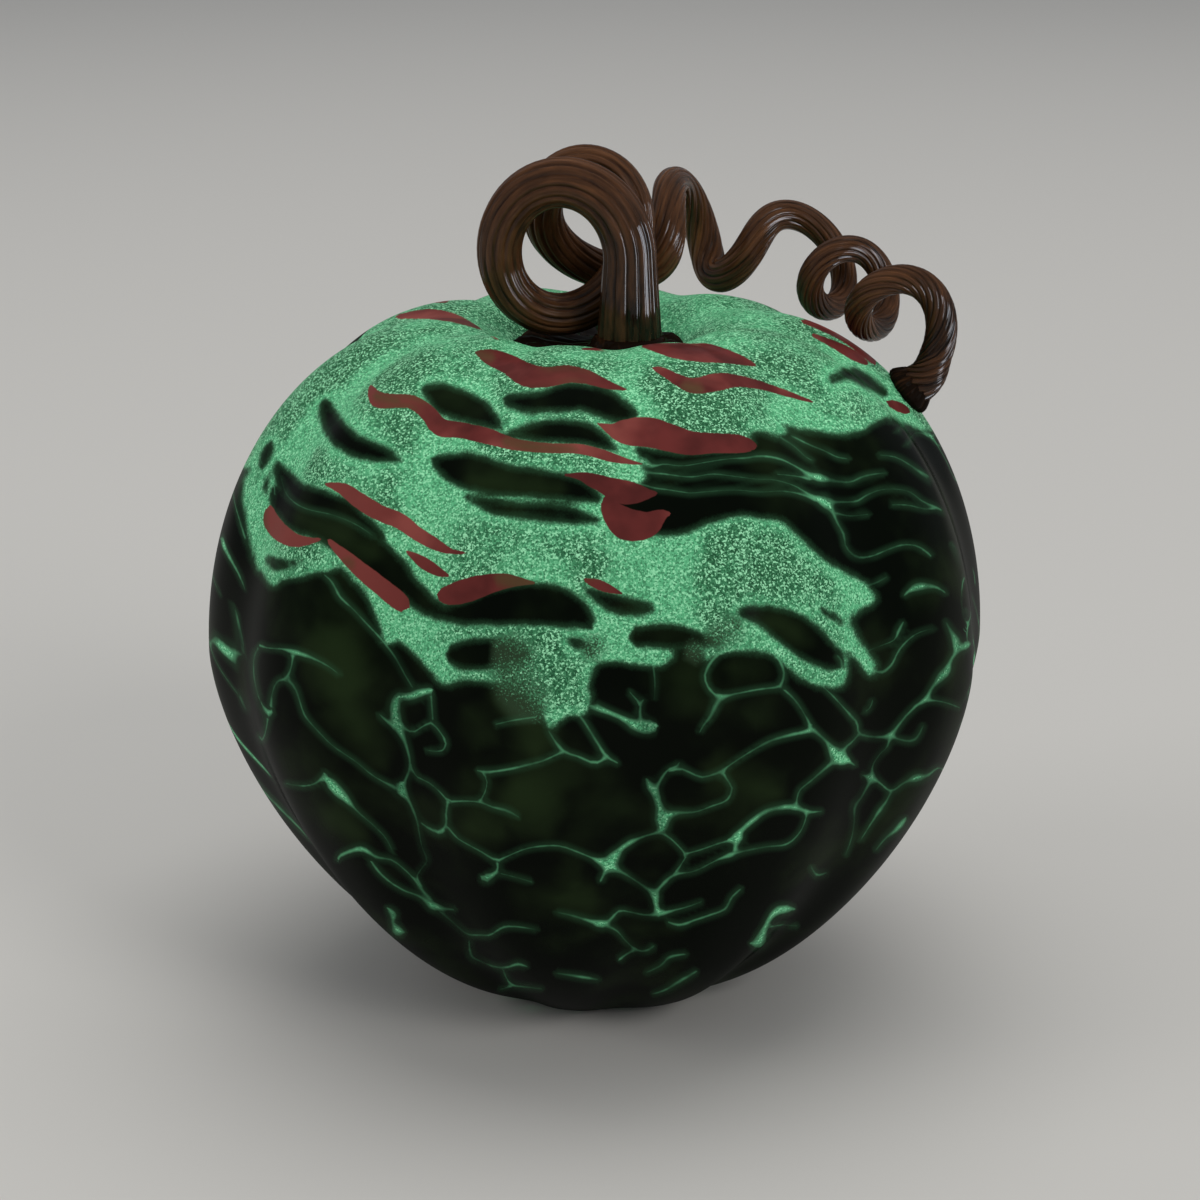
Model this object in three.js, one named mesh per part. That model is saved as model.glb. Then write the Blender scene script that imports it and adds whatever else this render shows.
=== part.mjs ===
// Blown glass pumpkin: a body of three cased layers, and a fluted cane curled into stem and vine.
// Millimetres, +Z up. The origin is the middle of the base, and the front faces -Y.
import * as THREE from 'three';

// Body outline, measured over the crests of the lobes
const BODY_RADIUS = 76;
const BELLY_HEIGHT = 70.5;
const BASE_RADIUS = 20;
const RIM_HEIGHT = 133.5;
const RIM_RADIUS = 29;
const DIMPLE_DEPTH = 22;
const NECK_RADIUS = 11;

// Roundness of the two halves: a power of 2 is an ellipse, and less is leaner
const LOWER_POWER = 1.55;
const UPPER_POWER = 2;
const DIMPLE_POWER = 2;

// Lobes, with the first groove a few degrees right of the front
const LOBES = 10;
const GROOVE_DEPTH = 2.6;
const GROOVE_SHARPNESS = 1.5;
const GROOVE_RUN_IN = 25;
const FIRST_GROOVE = THREE.MathUtils.degToRad(7.5);

// Layers of glass from the outside in, and the gap left between pieces
const CASING_WALL = 4.5;
const GLOW_WALL = 0.8;
const BUBBLE_WALL = 3;
const CLEARANCE = 0.35;

// Foot of the stem, pressed into the dimple
const FOOT_RADIUS = 16.6;
const FOOT_LIP = 0.9;
const FOOT_CROWN = 0.7;
const FOOT_CROWN_INSET = 1.1;
const FOOT_CRIMPS = 12;
const FOOT_CRIMP_DEPTH = 1.1;
const PLUG_ANGLE = 0.12;

// Cane: a fluted rod, upright at first and then curled
const FLUTES = 10;
const FLUTE_DEPTH = 0.35;
const TWIST_PER_CURL = 1.7;
const STEM_X = 6;
const STEM_Y = -6.5;
const STEM_FOOT_RADIUS = 6.6;
const STEPS_PER_CURL = 14;
const UPRIGHT_STEPS = 3;
const LAST_PHASE = 5.34;

// One row for each half turn of the cane, at the sides of its curls, starting where the upright
// ends: middle of the curl to the right, to the back and above the rim, its rise and its reach,
// the heading that it winds along in degrees from +X, and the radius of the cane.
const CURLS = [
  [-6.4, -7.5, 12.5, 14.2, 12.4, 90, 5.3],
  [-6.4, -3, 12.5, 14.2, 12, 90, 4.5],
  [-3.8, 5.5, 15.8, 12.5, 10.8, 90, 4.2],
  [-0.2, 9.5, 16.3, 10.4, 10.2, 80, 4.2],
  [10.6, 22.5, 13.5, 8.6, 9, 20, 3.6],
  [19, 28.5, 11.9, 9, 8.5, -10, 3.7],
  [30, 34, 8.9, 7.2, 6, 5, 3.5],
  [45, 28.5, 5.9, 7.4, 4.8, -45, 2.9],
  [47.2, 22.5, 3.5, 7.2, 7.3, -50, 2.9],
  [51.5, 17, 2, 7, 6.8, -50, 2.8],
  [56.2, 9.5, 0.8, 5.8, 7.6, -55, 2.9],
  [58, -1, -2, 8.6, 9, -60, 3.3],
  [58, 3, -8.5, 10, 9, -60, 4],
];
const FIRST_PHASE = -0.25;
const ROW_PHASE = 0.5;

// Dab at the end of the vine: its place on the shoulder and its size
const DAB_DISTANCE = 59.5;
const DAB_ANGLE = THREE.MathUtils.degToRad(92.4);
const DAB_RADIUS = 5.2;
const DAB_TOP_RADIUS = 4.4;
const DAB_HEIGHT = 2.2;
const DAB_APPROACH = 2.5;

// Facets
const CASING_SEGMENTS = 6 * LOBES;
const LAYER_SEGMENTS = 4 * LOBES;
const CASING_RINGS = [8, 9, 5];
const LAYER_RINGS = [4, 5, 3];

const QUARTER = Math.PI / 2;
const FULL_TURN = 2 * Math.PI;

// The outline is three quarter superellipses: base to belly, belly to rim, and rim to neck.
const LOWER = {
  radius: BASE_RADIUS,
  height: BELLY_HEIGHT,
  reach: BODY_RADIUS - BASE_RADIUS,
  rise: -BELLY_HEIGHT,
  power: LOWER_POWER,
};
const UPPER = {
  radius: RIM_RADIUS,
  height: BELLY_HEIGHT,
  reach: BODY_RADIUS - RIM_RADIUS,
  rise: RIM_HEIGHT - BELLY_HEIGHT,
  power: UPPER_POWER,
};
const DIMPLE = {
  radius: RIM_RADIUS,
  height: RIM_HEIGHT - DIMPLE_DEPTH,
  reach: NECK_RADIUS - RIM_RADIUS,
  rise: DIMPLE_DEPTH,
  power: DIMPLE_POWER,
};

// A place on one of those arcs, set in from the skin along its normal.
function station(arc, angle, inset = 0) {
  const c = Math.max(Math.cos(angle), 0);
  const s = Math.max(Math.sin(angle), 0);
  const root = 2 / arc.power;
  const normal = new THREE.Vector2(c ** (2 - root) / arc.reach, s ** (2 - root) / arc.rise).normalize();
  const radius = arc.radius + arc.reach * c ** root - inset * normal.x;
  const height = arc.height + arc.rise * s ** root - inset * normal.y;
  return { arc, normal, radius, height };
}

// The angle on an arc where its radius has a given value.
function angleAtRadius(arc, radius) {
  const share = (radius - arc.radius) / arc.reach;
  return Math.acos(THREE.MathUtils.clamp(share, 0, 1) ** (arc.power / 2));
}

// Stations from the edge of the base, up the side, over the rim and down to the neck.
function outline([lower, upper, dimple], inset) {
  const stations = [];
  for (let i = 0; i <= lower; i += 1) stations.push(station(LOWER, QUARTER * (1 - i / lower), inset));
  for (let i = 1; i <= upper; i += 1) stations.push(station(UPPER, (QUARTER * i) / upper, inset));
  for (let i = 1; i <= dimple; i += 1) stations.push(station(DIMPLE, QUARTER * (1 - i / dimple), inset));
  return stations;
}

// Depth of the grooves at a station: none on the base or under the stem's foot.
function grooveDepth({ arc, radius }) {
  if (arc === LOWER) {
    return GROOVE_DEPTH * THREE.MathUtils.smoothstep(radius, BASE_RADIUS, BASE_RADIUS + GROOVE_RUN_IN);
  }
  if (arc === DIMPLE) {
    return GROOVE_DEPTH * THREE.MathUtils.smoothstep(radius, FOOT_RADIUS + CLEARANCE, RIM_RADIUS);
  }
  return GROOVE_DEPTH;
}

// A point of the skin at an angle about +Z, counted from the front toward +X.
function skinPoint(place, angle, depth = 0) {
  const wave = (1 + Math.cos(LOBES * (angle - FIRST_GROOVE))) / 2;
  const sink = depth * wave ** GROOVE_SHARPNESS;
  const radius = place.radius - sink * place.normal.x;
  const height = place.height - sink * place.normal.y;
  return new THREE.Vector3(radius * Math.sin(angle), -radius * Math.cos(angle), height);
}

function skinRing(place, segments, depth) {
  return Array.from({ length: segments }, (unused, i) =>
    skinPoint(place, FIRST_GROOVE + (FULL_TURN * i) / segments, depth));
}

const pole = (height) => [new THREE.Vector3(0, 0, height)];

// Joins a row of rings into one closed skin. Rings may differ in count, and end rings are poles.
function loft(rings) {
  const points = rings.flat();
  const faces = [];
  let start = 0;
  for (let k = 0; k + 1 < rings.length; k += 1) {
    const lower = rings[k].length;
    const upper = rings[k + 1].length;
    const next = start + lower;
    const lowerStops = lower > 1 ? lower : 0;
    const upperStops = upper > 1 ? upper : 0;
    let i = 0;
    let j = 0;
    while (i < lowerStops || j < upperStops) {
      const stepLower = j >= upperStops || (i < lowerStops && (i + 1) * upper <= (j + 1) * lower);
      const a = start + (i % lower);
      const b = next + (j % upper);
      if (stepLower) {
        i += 1;
        faces.push(a, start + (i % lower), b);
      } else {
        j += 1;
        faces.push(a, next + (j % upper), b);
      }
    }
    start = next;
  }
  const geometry = new THREE.BufferGeometry().setFromPoints(points);
  geometry.setIndex(faces);
  geometry.computeVertexNormals();
  return geometry;
}

// A round layer of the body between two depths below the skin, open at the neck.
function layer(outer, inner) {
  const round = (place) => skinRing(place, LAYER_SEGMENTS);
  return loft([
    pole(outer),
    ...outline(LAYER_RINGS, outer).map(round),
    ...outline(LAYER_RINGS, inner).map(round).reverse(),
    pole(inner),
  ]);
}

function casing() {
  const lobed = (place) => skinRing(place, CASING_SEGMENTS, grooveDepth(place));
  const round = (place) => skinRing(place, LAYER_SEGMENTS);
  return loft([
    pole(0),
    ...outline(CASING_RINGS, 0).map(lobed),
    ...outline(LAYER_RINGS, CASING_WALL).map(round).reverse(),
    pole(CASING_WALL),
  ]);
}

// The foot follows the wall of the dimple up from the neck, and its edge is crimped.
const FOOT_EDGE_ANGLE = angleAtRadius(DIMPLE, FOOT_RADIUS);
const FOOT_EDGE = station(DIMPLE, FOOT_EDGE_ANGLE, -CLEARANCE);
const FOOT_TOP = FOOT_EDGE.height + FOOT_LIP + FOOT_CROWN;

function footRing(radius, height, crimp) {
  const segments = 4 * FOOT_CRIMPS;
  return Array.from({ length: segments }, (unused, i) => {
    const angle = (FULL_TURN * i) / segments;
    const r = radius - crimp * (0.5 - 0.5 * Math.cos(FOOT_CRIMPS * angle));
    return new THREE.Vector3(r * Math.sin(angle), -r * Math.cos(angle), height);
  });
}

function stemFoot() {
  const wallSteps = 3;
  const wall = Array.from({ length: wallSteps + 1 }, (unused, i) => {
    const share = i / wallSteps;
    const place = station(DIMPLE, THREE.MathUtils.lerp(PLUG_ANGLE, FOOT_EDGE_ANGLE, share), -CLEARANCE);
    return footRing(place.radius, place.height, FOOT_CRIMP_DEPTH * share);
  });
  const bottom = wall[0][0].z;
  return loft([
    pole(bottom),
    ...wall,
    footRing(FOOT_EDGE.radius, FOOT_EDGE.height + FOOT_LIP, FOOT_CRIMP_DEPTH),
    footRing(FOOT_EDGE.radius - FOOT_CROWN_INSET, FOOT_TOP, FOOT_CRIMP_DEPTH),
    pole(FOOT_TOP),
  ]);
}

// Place and tilt of the dab, from the lobed skin under it.
function dabSeat() {
  const small = 0.01;
  const at = (distance, angle) => {
    const place = station(UPPER, angleAtRadius(UPPER, distance));
    return skinPoint(place, angle, grooveDepth(place));
  };
  const point = at(DAB_DISTANCE, DAB_ANGLE);
  const across = at(DAB_DISTANCE, DAB_ANGLE + small).sub(point);
  const inward = at(DAB_DISTANCE - small, DAB_ANGLE).sub(point);
  return { point, normal: across.cross(inward).normalize() };
}
const SEAT = dabSeat();

// The dab is made flat about its own +Z, and turned to the skin when it is placed.
function vineFoot() {
  const ring = (radius, height) => Array.from({ length: 2 * FLUTES }, (unused, i) => {
    const angle = (FULL_TURN * i) / (2 * FLUTES);
    const r = i % 2 ? radius - FLUTE_DEPTH : radius;
    return new THREE.Vector3(r * Math.cos(angle), r * Math.sin(angle), height);
  });
  return loft([
    pole(0),
    ring(DAB_RADIUS, 0),
    ring(DAB_RADIUS, DAB_HEIGHT / 2),
    ring(DAB_TOP_RADIUS, DAB_HEIGHT),
    pole(DAB_HEIGHT),
  ]);
}

// The curls: a circle that is carried along the rows of CURLS while its phase runs on.
const ROW_SIZE = CURLS[0].length;
const curlRows = new THREE.CubicInterpolant(
  CURLS.map((row, i) => FIRST_PHASE + ROW_PHASE * i), CURLS.flat(), ROW_SIZE, new Float64Array(ROW_SIZE));

function curlAt(phase) {
  const [x, y, up, rise, reach, heading, radius] = curlRows.evaluate(phase);
  const turn = FULL_TURN * phase;
  const along = THREE.MathUtils.degToRad(heading);
  const side = reach * Math.sin(turn);
  const point = new THREE.Vector3(
    x - side * Math.sin(along), y + side * Math.cos(along), RIM_HEIGHT + up + rise * Math.cos(turn));
  return { point, radius };
}

function curls(stepsPerCurl) {
  const steps = Math.round((LAST_PHASE - FIRST_PHASE) * stepsPerCurl);
  return Array.from({ length: steps + 1 }, (unused, i) =>
    curlAt(THREE.MathUtils.lerp(FIRST_PHASE, LAST_PHASE, i / steps)));
}

// Height of what lies under the cane at a distance from the axis: the foot, the rim or the shoulder.
function groundHeight(distance) {
  if (distance < FOOT_RADIUS) return FOOT_TOP;
  const arc = distance < RIM_RADIUS ? DIMPLE : UPPER;
  return station(arc, angleAtRadius(arc, distance)).height;
}

// All curls are raised together until the cane clears what lies under it.
function curlLift() {
  const fine = 8 * STEPS_PER_CURL;
  const needs = curls(fine).map(({ point, radius }) => {
    const ground = groundHeight(Math.hypot(point.x, point.y));
    return ground + radius + CLEARANCE - point.z;
  });
  return Math.max(0, ...needs);
}
const LIFT = curlLift();

// Middle line and radius of the whole cane: upright, curls, and the way down to the dab.
function caneLine(stepsPerCurl) {
  const middle = curls(stepsPerCurl);
  for (const { point } of middle) point.z += LIFT;
  const top = middle[0];
  const bottom = new THREE.Vector3(STEM_X, STEM_Y, FOOT_TOP + CLEARANCE);
  const upright = Array.from({ length: UPRIGHT_STEPS }, (unused, i) => {
    const share = i / UPRIGHT_STEPS;
    const point = bottom.clone().lerp(top.point, share);
    return { point, radius: THREE.MathUtils.lerp(STEM_FOOT_RADIUS, top.radius, share) };
  });
  const landing = (height, radius) => ({
    point: SEAT.point.clone().addScaledVector(SEAT.normal, height),
    radius,
  });
  const touch = DAB_HEIGHT + 2 * CLEARANCE;
  const last = middle[middle.length - 1];
  return [
    ...upright,
    ...middle,
    landing(touch + DAB_APPROACH, (last.radius + DAB_TOP_RADIUS) / 2),
    landing(touch, DAB_TOP_RADIUS),
  ];
}

// The fluted cane: its section is carried along the line without turning, apart from a slow twist.
function curledStem() {
  const line = caneLine(STEPS_PER_CURL);
  const points = line.map(({ point }) => point);
  const tangents = points.map((point, i) => {
    if (i === 0) return new THREE.Vector3(0, 0, 1);
    if (i === points.length - 1) return SEAT.normal.clone().negate();
    return points[i + 1].clone().sub(points[i - 1]).normalize();
  });
  let across = new THREE.Vector3(1, 0, 0);
  const rings = line.map(({ point, radius }, i) => {
    across = across.clone().addScaledVector(tangents[i], -across.dot(tangents[i])).normalize();
    const upward = tangents[i].clone().cross(across);
    return Array.from({ length: 2 * FLUTES }, (unused, k) => {
      const angle = (FULL_TURN * k) / (2 * FLUTES) + (TWIST_PER_CURL * i) / STEPS_PER_CURL;
      const r = k % 2 ? radius - FLUTE_DEPTH : radius;
      const offset = across.clone().multiplyScalar(r * Math.cos(angle));
      return offset.addScaledVector(upward, r * Math.sin(angle)).add(point);
    });
  });
  return loft([[points[0]], ...rings, [points[points.length - 1]]]);
}

// Least gap between two stretches of the cane that lie over a third of a turn apart.
function leastCaneGap() {
  const perCurl = 60;
  const line = caneLine(perCurl);
  let least = Infinity;
  for (let i = 0; i < line.length; i += 1) {
    for (let j = i + perCurl / 3; j < line.length; j += 1) {
      const gap = line[i].point.distanceTo(line[j].point) - line[i].radius - line[j].radius;
      least = Math.min(least, gap);
    }
  }
  return least;
}
console.log(`Least gap of the cane to itself: ${leastCaneGap().toFixed(2)} mm`);
console.log(`Curls raised by: ${LIFT.toFixed(2)} mm`);

function piece(name, geometry, color, roughness) {
  const mesh = new THREE.Mesh(geometry, new THREE.MeshStandardMaterial({ color, roughness, metalness: 0 }));
  mesh.name = name;
  return mesh;
}

const GLOW_DEPTH = CASING_WALL + CLEARANCE;
const BUBBLE_DEPTH = GLOW_DEPTH + GLOW_WALL + CLEARANCE;

const pumpkin = new THREE.Group();
pumpkin.add(
  piece('ribbed_casing', casing(), 0x3f7d5f, 0.08),
  piece('glow_layer', layer(GLOW_DEPTH, GLOW_DEPTH + GLOW_WALL), 0x86dcae, 0.6),
  piece('inner_bubble', layer(BUBBLE_DEPTH, BUBBLE_DEPTH + BUBBLE_WALL), 0xdcebe2, 0.05),
  piece('stem_foot', stemFoot(), 0x2b1d14, 0.1),
  piece('curled_stem', curledStem(), 0x4a3424, 0.08),
);
const dab = piece('vine_foot', vineFoot(), 0x3a271b, 0.1);
dab.position.copy(SEAT.point).addScaledVector(SEAT.normal, CLEARANCE);
dab.quaternion.setFromUnitVectors(new THREE.Vector3(0, 0, 1), SEAT.normal);
pumpkin.add(dab);

export default pumpkin;
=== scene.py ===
# %% [markdown]
# A blown glass pumpkin
#
# The real pumpkin is blown in layers: a clear bubble, a skin of mint powder that glows, and a
# heavy casing in which chips of red and nearly black glass were pulled out into flames, streaks
# and cells. A hot fluted cane was dropped on top and curled into stem and vine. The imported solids
# give every place and size. This lesson keeps the two inner layers as they are, and models the
# casing, the cane and its two feet again with the detail that the solids leave out.

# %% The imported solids
import math

import bpy
import numpy as np
from mathutils import Matrix, Vector


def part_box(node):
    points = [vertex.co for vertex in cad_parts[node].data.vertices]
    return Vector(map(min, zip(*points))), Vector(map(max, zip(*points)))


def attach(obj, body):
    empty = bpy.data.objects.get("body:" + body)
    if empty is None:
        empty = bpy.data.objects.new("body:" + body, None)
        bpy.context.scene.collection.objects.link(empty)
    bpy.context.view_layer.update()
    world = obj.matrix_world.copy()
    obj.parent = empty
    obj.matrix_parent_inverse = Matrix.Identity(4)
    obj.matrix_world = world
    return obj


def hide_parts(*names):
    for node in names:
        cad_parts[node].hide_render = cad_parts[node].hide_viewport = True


MM = 0.001
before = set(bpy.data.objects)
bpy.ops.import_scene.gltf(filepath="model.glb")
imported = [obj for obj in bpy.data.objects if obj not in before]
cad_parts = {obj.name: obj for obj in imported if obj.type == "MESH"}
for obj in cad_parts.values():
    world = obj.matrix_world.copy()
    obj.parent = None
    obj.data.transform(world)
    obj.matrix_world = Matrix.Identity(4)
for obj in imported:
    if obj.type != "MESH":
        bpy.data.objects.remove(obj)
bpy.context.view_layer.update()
print("Solids:", sorted(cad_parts))

# %% [markdown]
# The camera stands where the photograph was taken: a little above the rim, looking down on the
# front. It comes first because the chips of glass are placed by looking through it, from pixels
# of the photograph to points on the glass.

# %% Camera
PHOTO_PIXELS = 1200
FOCAL_PIXELS = 2757
SENSOR_WIDTH = 36
CAMERA_DISTANCE = 540 * MM
CAMERA_ELEVATION = math.radians(17)
AIM = Vector((0.45 * MM, 0, 77.2 * MM))

bpy.ops.object.select_all(action="DESELECT")
toward_camera = Vector((0, -math.cos(CAMERA_ELEVATION), math.sin(CAMERA_ELEVATION)))
bpy.ops.object.camera_add(
    location=AIM + CAMERA_DISTANCE * toward_camera,
    rotation=(math.pi / 2 - CAMERA_ELEVATION, 0, 0),
)
camera = bpy.context.object
camera.name = "photo_camera"
camera.data.sensor_width = SENSOR_WIDTH
camera.data.lens = SENSOR_WIDTH * FOCAL_PIXELS / PHOTO_PIXELS
bpy.context.scene.camera = camera
print("Lens in mm:", round(camera.data.lens, 2))

# %% [markdown]
# The body's outline is three quarter superellipses, as in the solids: base to belly, belly to
# rim, and rim down to the neck. A superellipse is an ellipse with another power than 2, and less
# than 2 makes the lower half lean. The points are spread evenly along the outline so that the
# faces come out nearly square.

# %% Outline of the body
SKIN_INSET = 0.3 * MM
BODY_RADIUS = 76 * MM - SKIN_INSET
BELLY_HEIGHT = 70.5 * MM
BASE_RADIUS = 20 * MM
RIM_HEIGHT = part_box("ribbed_casing")[1].z
RIM_RADIUS = 29 * MM
DIMPLE_DEPTH = 22 * MM
NECK_RADIUS = 11 * MM
LOWER_POWER = 1.55
ROUND_POWER = 2
OUTLINE_STEP = 1.0 * MM
ARC_POINTS = 400
QUARTER = math.pi / 2


def quarter_arc(radius, height, reach, rise, power, start, end):
    """Fine points of a quarter superellipse, as rows of distance from the axis and height."""
    turn = np.linspace(start, end, ARC_POINTS)
    across = np.clip(np.cos(turn), 0, 1) ** (2 / power)
    upward = np.clip(np.sin(turn), 0, 1) ** (2 / power)
    return np.column_stack((radius + reach * across, height + rise * upward))


def even_steps(points, step):
    """The same line with its points a set step apart."""
    travelled = np.append(0, np.cumsum(np.linalg.norm(np.diff(points, axis=0), axis=1)))
    stops = np.linspace(0, travelled[-1], round(travelled[-1] / step) + 1)
    return np.column_stack([np.interp(stops, travelled, column) for column in points.T])


lower_arc = quarter_arc(
    BASE_RADIUS, BELLY_HEIGHT, BODY_RADIUS - BASE_RADIUS, -BELLY_HEIGHT, LOWER_POWER, QUARTER, 0)
upper_arc = quarter_arc(
    RIM_RADIUS, BELLY_HEIGHT, BODY_RADIUS - RIM_RADIUS, RIM_HEIGHT - BELLY_HEIGHT, ROUND_POWER, 0, QUARTER)
dimple_arc = quarter_arc(
    RIM_RADIUS, RIM_HEIGHT - DIMPLE_DEPTH, NECK_RADIUS - RIM_RADIUS, DIMPLE_DEPTH, ROUND_POWER, QUARTER, 0)
outline = even_steps(np.vstack((lower_arc, upper_arc[1:], dimple_arc[1:])), OUTLINE_STEP)
print("Points on the outline:", len(outline))

# %% [markdown]
# A blower swings the hot bubble into a ribbed mould, which presses the grooves between the lobes.
# Here the outline is drawn as a chain of extruded points, with the inner wall behind it, and spun
# about the axis. Spin gives clean columns of faces, which the grooves need. Each point of the
# chain carries how deep the grooves are there, and spin hands that on to every column.

# %% Casing, spun from its outline
CASING_WALL = 4.5 * MM
INNER_STRIDE = 8
SPIN_STEPS = 408
MERGE_DISTANCE = 0.002 * MM
GROOVE_DEPTH = 2.6 * MM
GROOVE_RUN_IN = 25 * MM
GROOVE_END_RADIUS = 17 * MM
GROOVE_FULL_RADIUS = 60 * MM
RIM_GROOVE_SHARE = 0.4


def smooth_share(value, low, high):
    """Eases from 0 at low to 1 at high."""
    share = np.clip((value - low) / (high - low), 0, 1)
    return share * share * (3 - 2 * share)


def write_values(mesh, name, values):
    """Keeps one number for each vertex under a name that a material can read."""
    layer = mesh.attributes.get(name) or mesh.attributes.new(name, "FLOAT", "POINT")
    layer.data.foreach_set("value", np.asarray(values, np.float32))


slope = np.gradient(outline, axis=0)
slope /= np.linalg.norm(slope, axis=1)[:, None]
inner_wall = outline - CASING_WALL * np.column_stack((slope[:, 1], -slope[:, 0]))
chain = np.vstack(([[0, 0]], outline, inner_wall[::-INNER_STRIDE], [[0, CASING_WALL]]))

distance, height = outline.T
beyond_rim = np.arange(len(outline)) > np.argmax(height)
fade_low = smooth_share(distance, BASE_RADIUS, BASE_RADIUS + GROOVE_RUN_IN)
fade_high = smooth_share(distance, GROOVE_END_RADIUS, RIM_RADIUS)
is_lower = height < BELLY_HEIGHT
from_rim = smooth_share(distance, RIM_RADIUS, GROOVE_FULL_RADIUS)
fade_rim = RIM_GROOVE_SHARE + (1 - RIM_GROOVE_SHARE) * from_rim
fade_outside = np.where(is_lower, fade_low, fade_rim)
groove_fade = np.where(beyond_rim, RIM_GROOVE_SHARE * fade_high, fade_outside)

bpy.ops.mesh.primitive_plane_add(size=MM)
casing = bpy.context.object
casing.name = "flecked_casing"
bpy.ops.object.mode_set(mode="EDIT")
bpy.ops.mesh.merge(type="CENTER")
for here, there in zip(chain[:-1], chain[1:]):
    step = (there[0] - here[0], 0, there[1] - here[1])
    bpy.ops.mesh.extrude_vertices_move(TRANSFORM_OT_translate={"value": step})
bpy.ops.object.mode_set(mode="OBJECT")
chain_fade = np.zeros(len(chain))
chain_fade[1:len(outline) + 1] = groove_fade
is_skin = np.zeros(len(chain))
is_skin[:len(outline) + 1] = 1
write_values(casing.data, "groove_fade", chain_fade)
write_values(casing.data, "skin", is_skin)

bpy.ops.object.mode_set(mode="EDIT")
bpy.ops.mesh.select_all(action="SELECT")
bpy.ops.mesh.spin(steps=SPIN_STEPS, angle=math.tau, center=(0, 0, 0), axis=(0, 0, 1))
bpy.ops.mesh.select_all(action="SELECT")
bpy.ops.mesh.remove_doubles(threshold=MERGE_DISTANCE)
bpy.ops.mesh.normals_make_consistent(inside=False)
bpy.ops.object.mode_set(mode="OBJECT")
bpy.ops.object.shade_smooth()
print("Casing faces:", len(casing.data.polygons))

# %% [markdown]
# Ten lobes go round the body. Each point of the skin sinks along its own normal by a cosine that
# is sharpened with a power, so that the lobes are broad and the grooves between them narrow.

# %% Lobes
LOBES = 10
FIRST_GROOVE = math.radians(7.5)
GROOVE_SHARPNESS = 1.5
RIM_BLOOM = 16 * MM


def read_points(mesh, name="co", width=3):
    """Positions or normals of a mesh's vertices as rows."""
    values = np.empty(len(mesh.vertices) * width, np.float32)
    mesh.vertices.foreach_get(name, values)
    return values.reshape(-1, width).astype(float)


def read_values(mesh, name):
    """One float attribute of a mesh's vertices."""
    values = np.empty(len(mesh.vertices), np.float32)
    mesh.attributes[name].data.foreach_get("value", values)
    return values.astype(float)


def write_points(mesh, rows):
    """Moves a mesh's vertices to new positions."""
    mesh.vertices.foreach_set("co", rows.astype(np.float32).ravel())
    mesh.update()


places = read_points(casing.data)
round_outward = read_points(casing.data, "normal")
angle = np.arctan2(places[:, 0], -places[:, 1])
groove = ((1 + np.cos(LOBES * (angle - FIRST_GROOVE))) / 2) ** GROOVE_SHARPNESS
groove *= read_values(casing.data, "groove_fade")
places -= round_outward * (GROOVE_DEPTH * groove)[:, None]
write_points(casing.data, places)
write_values(casing.data, "groove", groove)
from_axis = np.hypot(places[:, 0], places[:, 1])
near_rim = 1 - smooth_share(from_axis, RIM_RADIUS, RIM_RADIUS + RIM_BLOOM)
write_values(casing.data, "rim", near_rim * (places[:, 2] > BELLY_HEIGHT))
print("Deepest groove in mm:", round(GROOVE_DEPTH * groove.max() / MM, 2))
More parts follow.
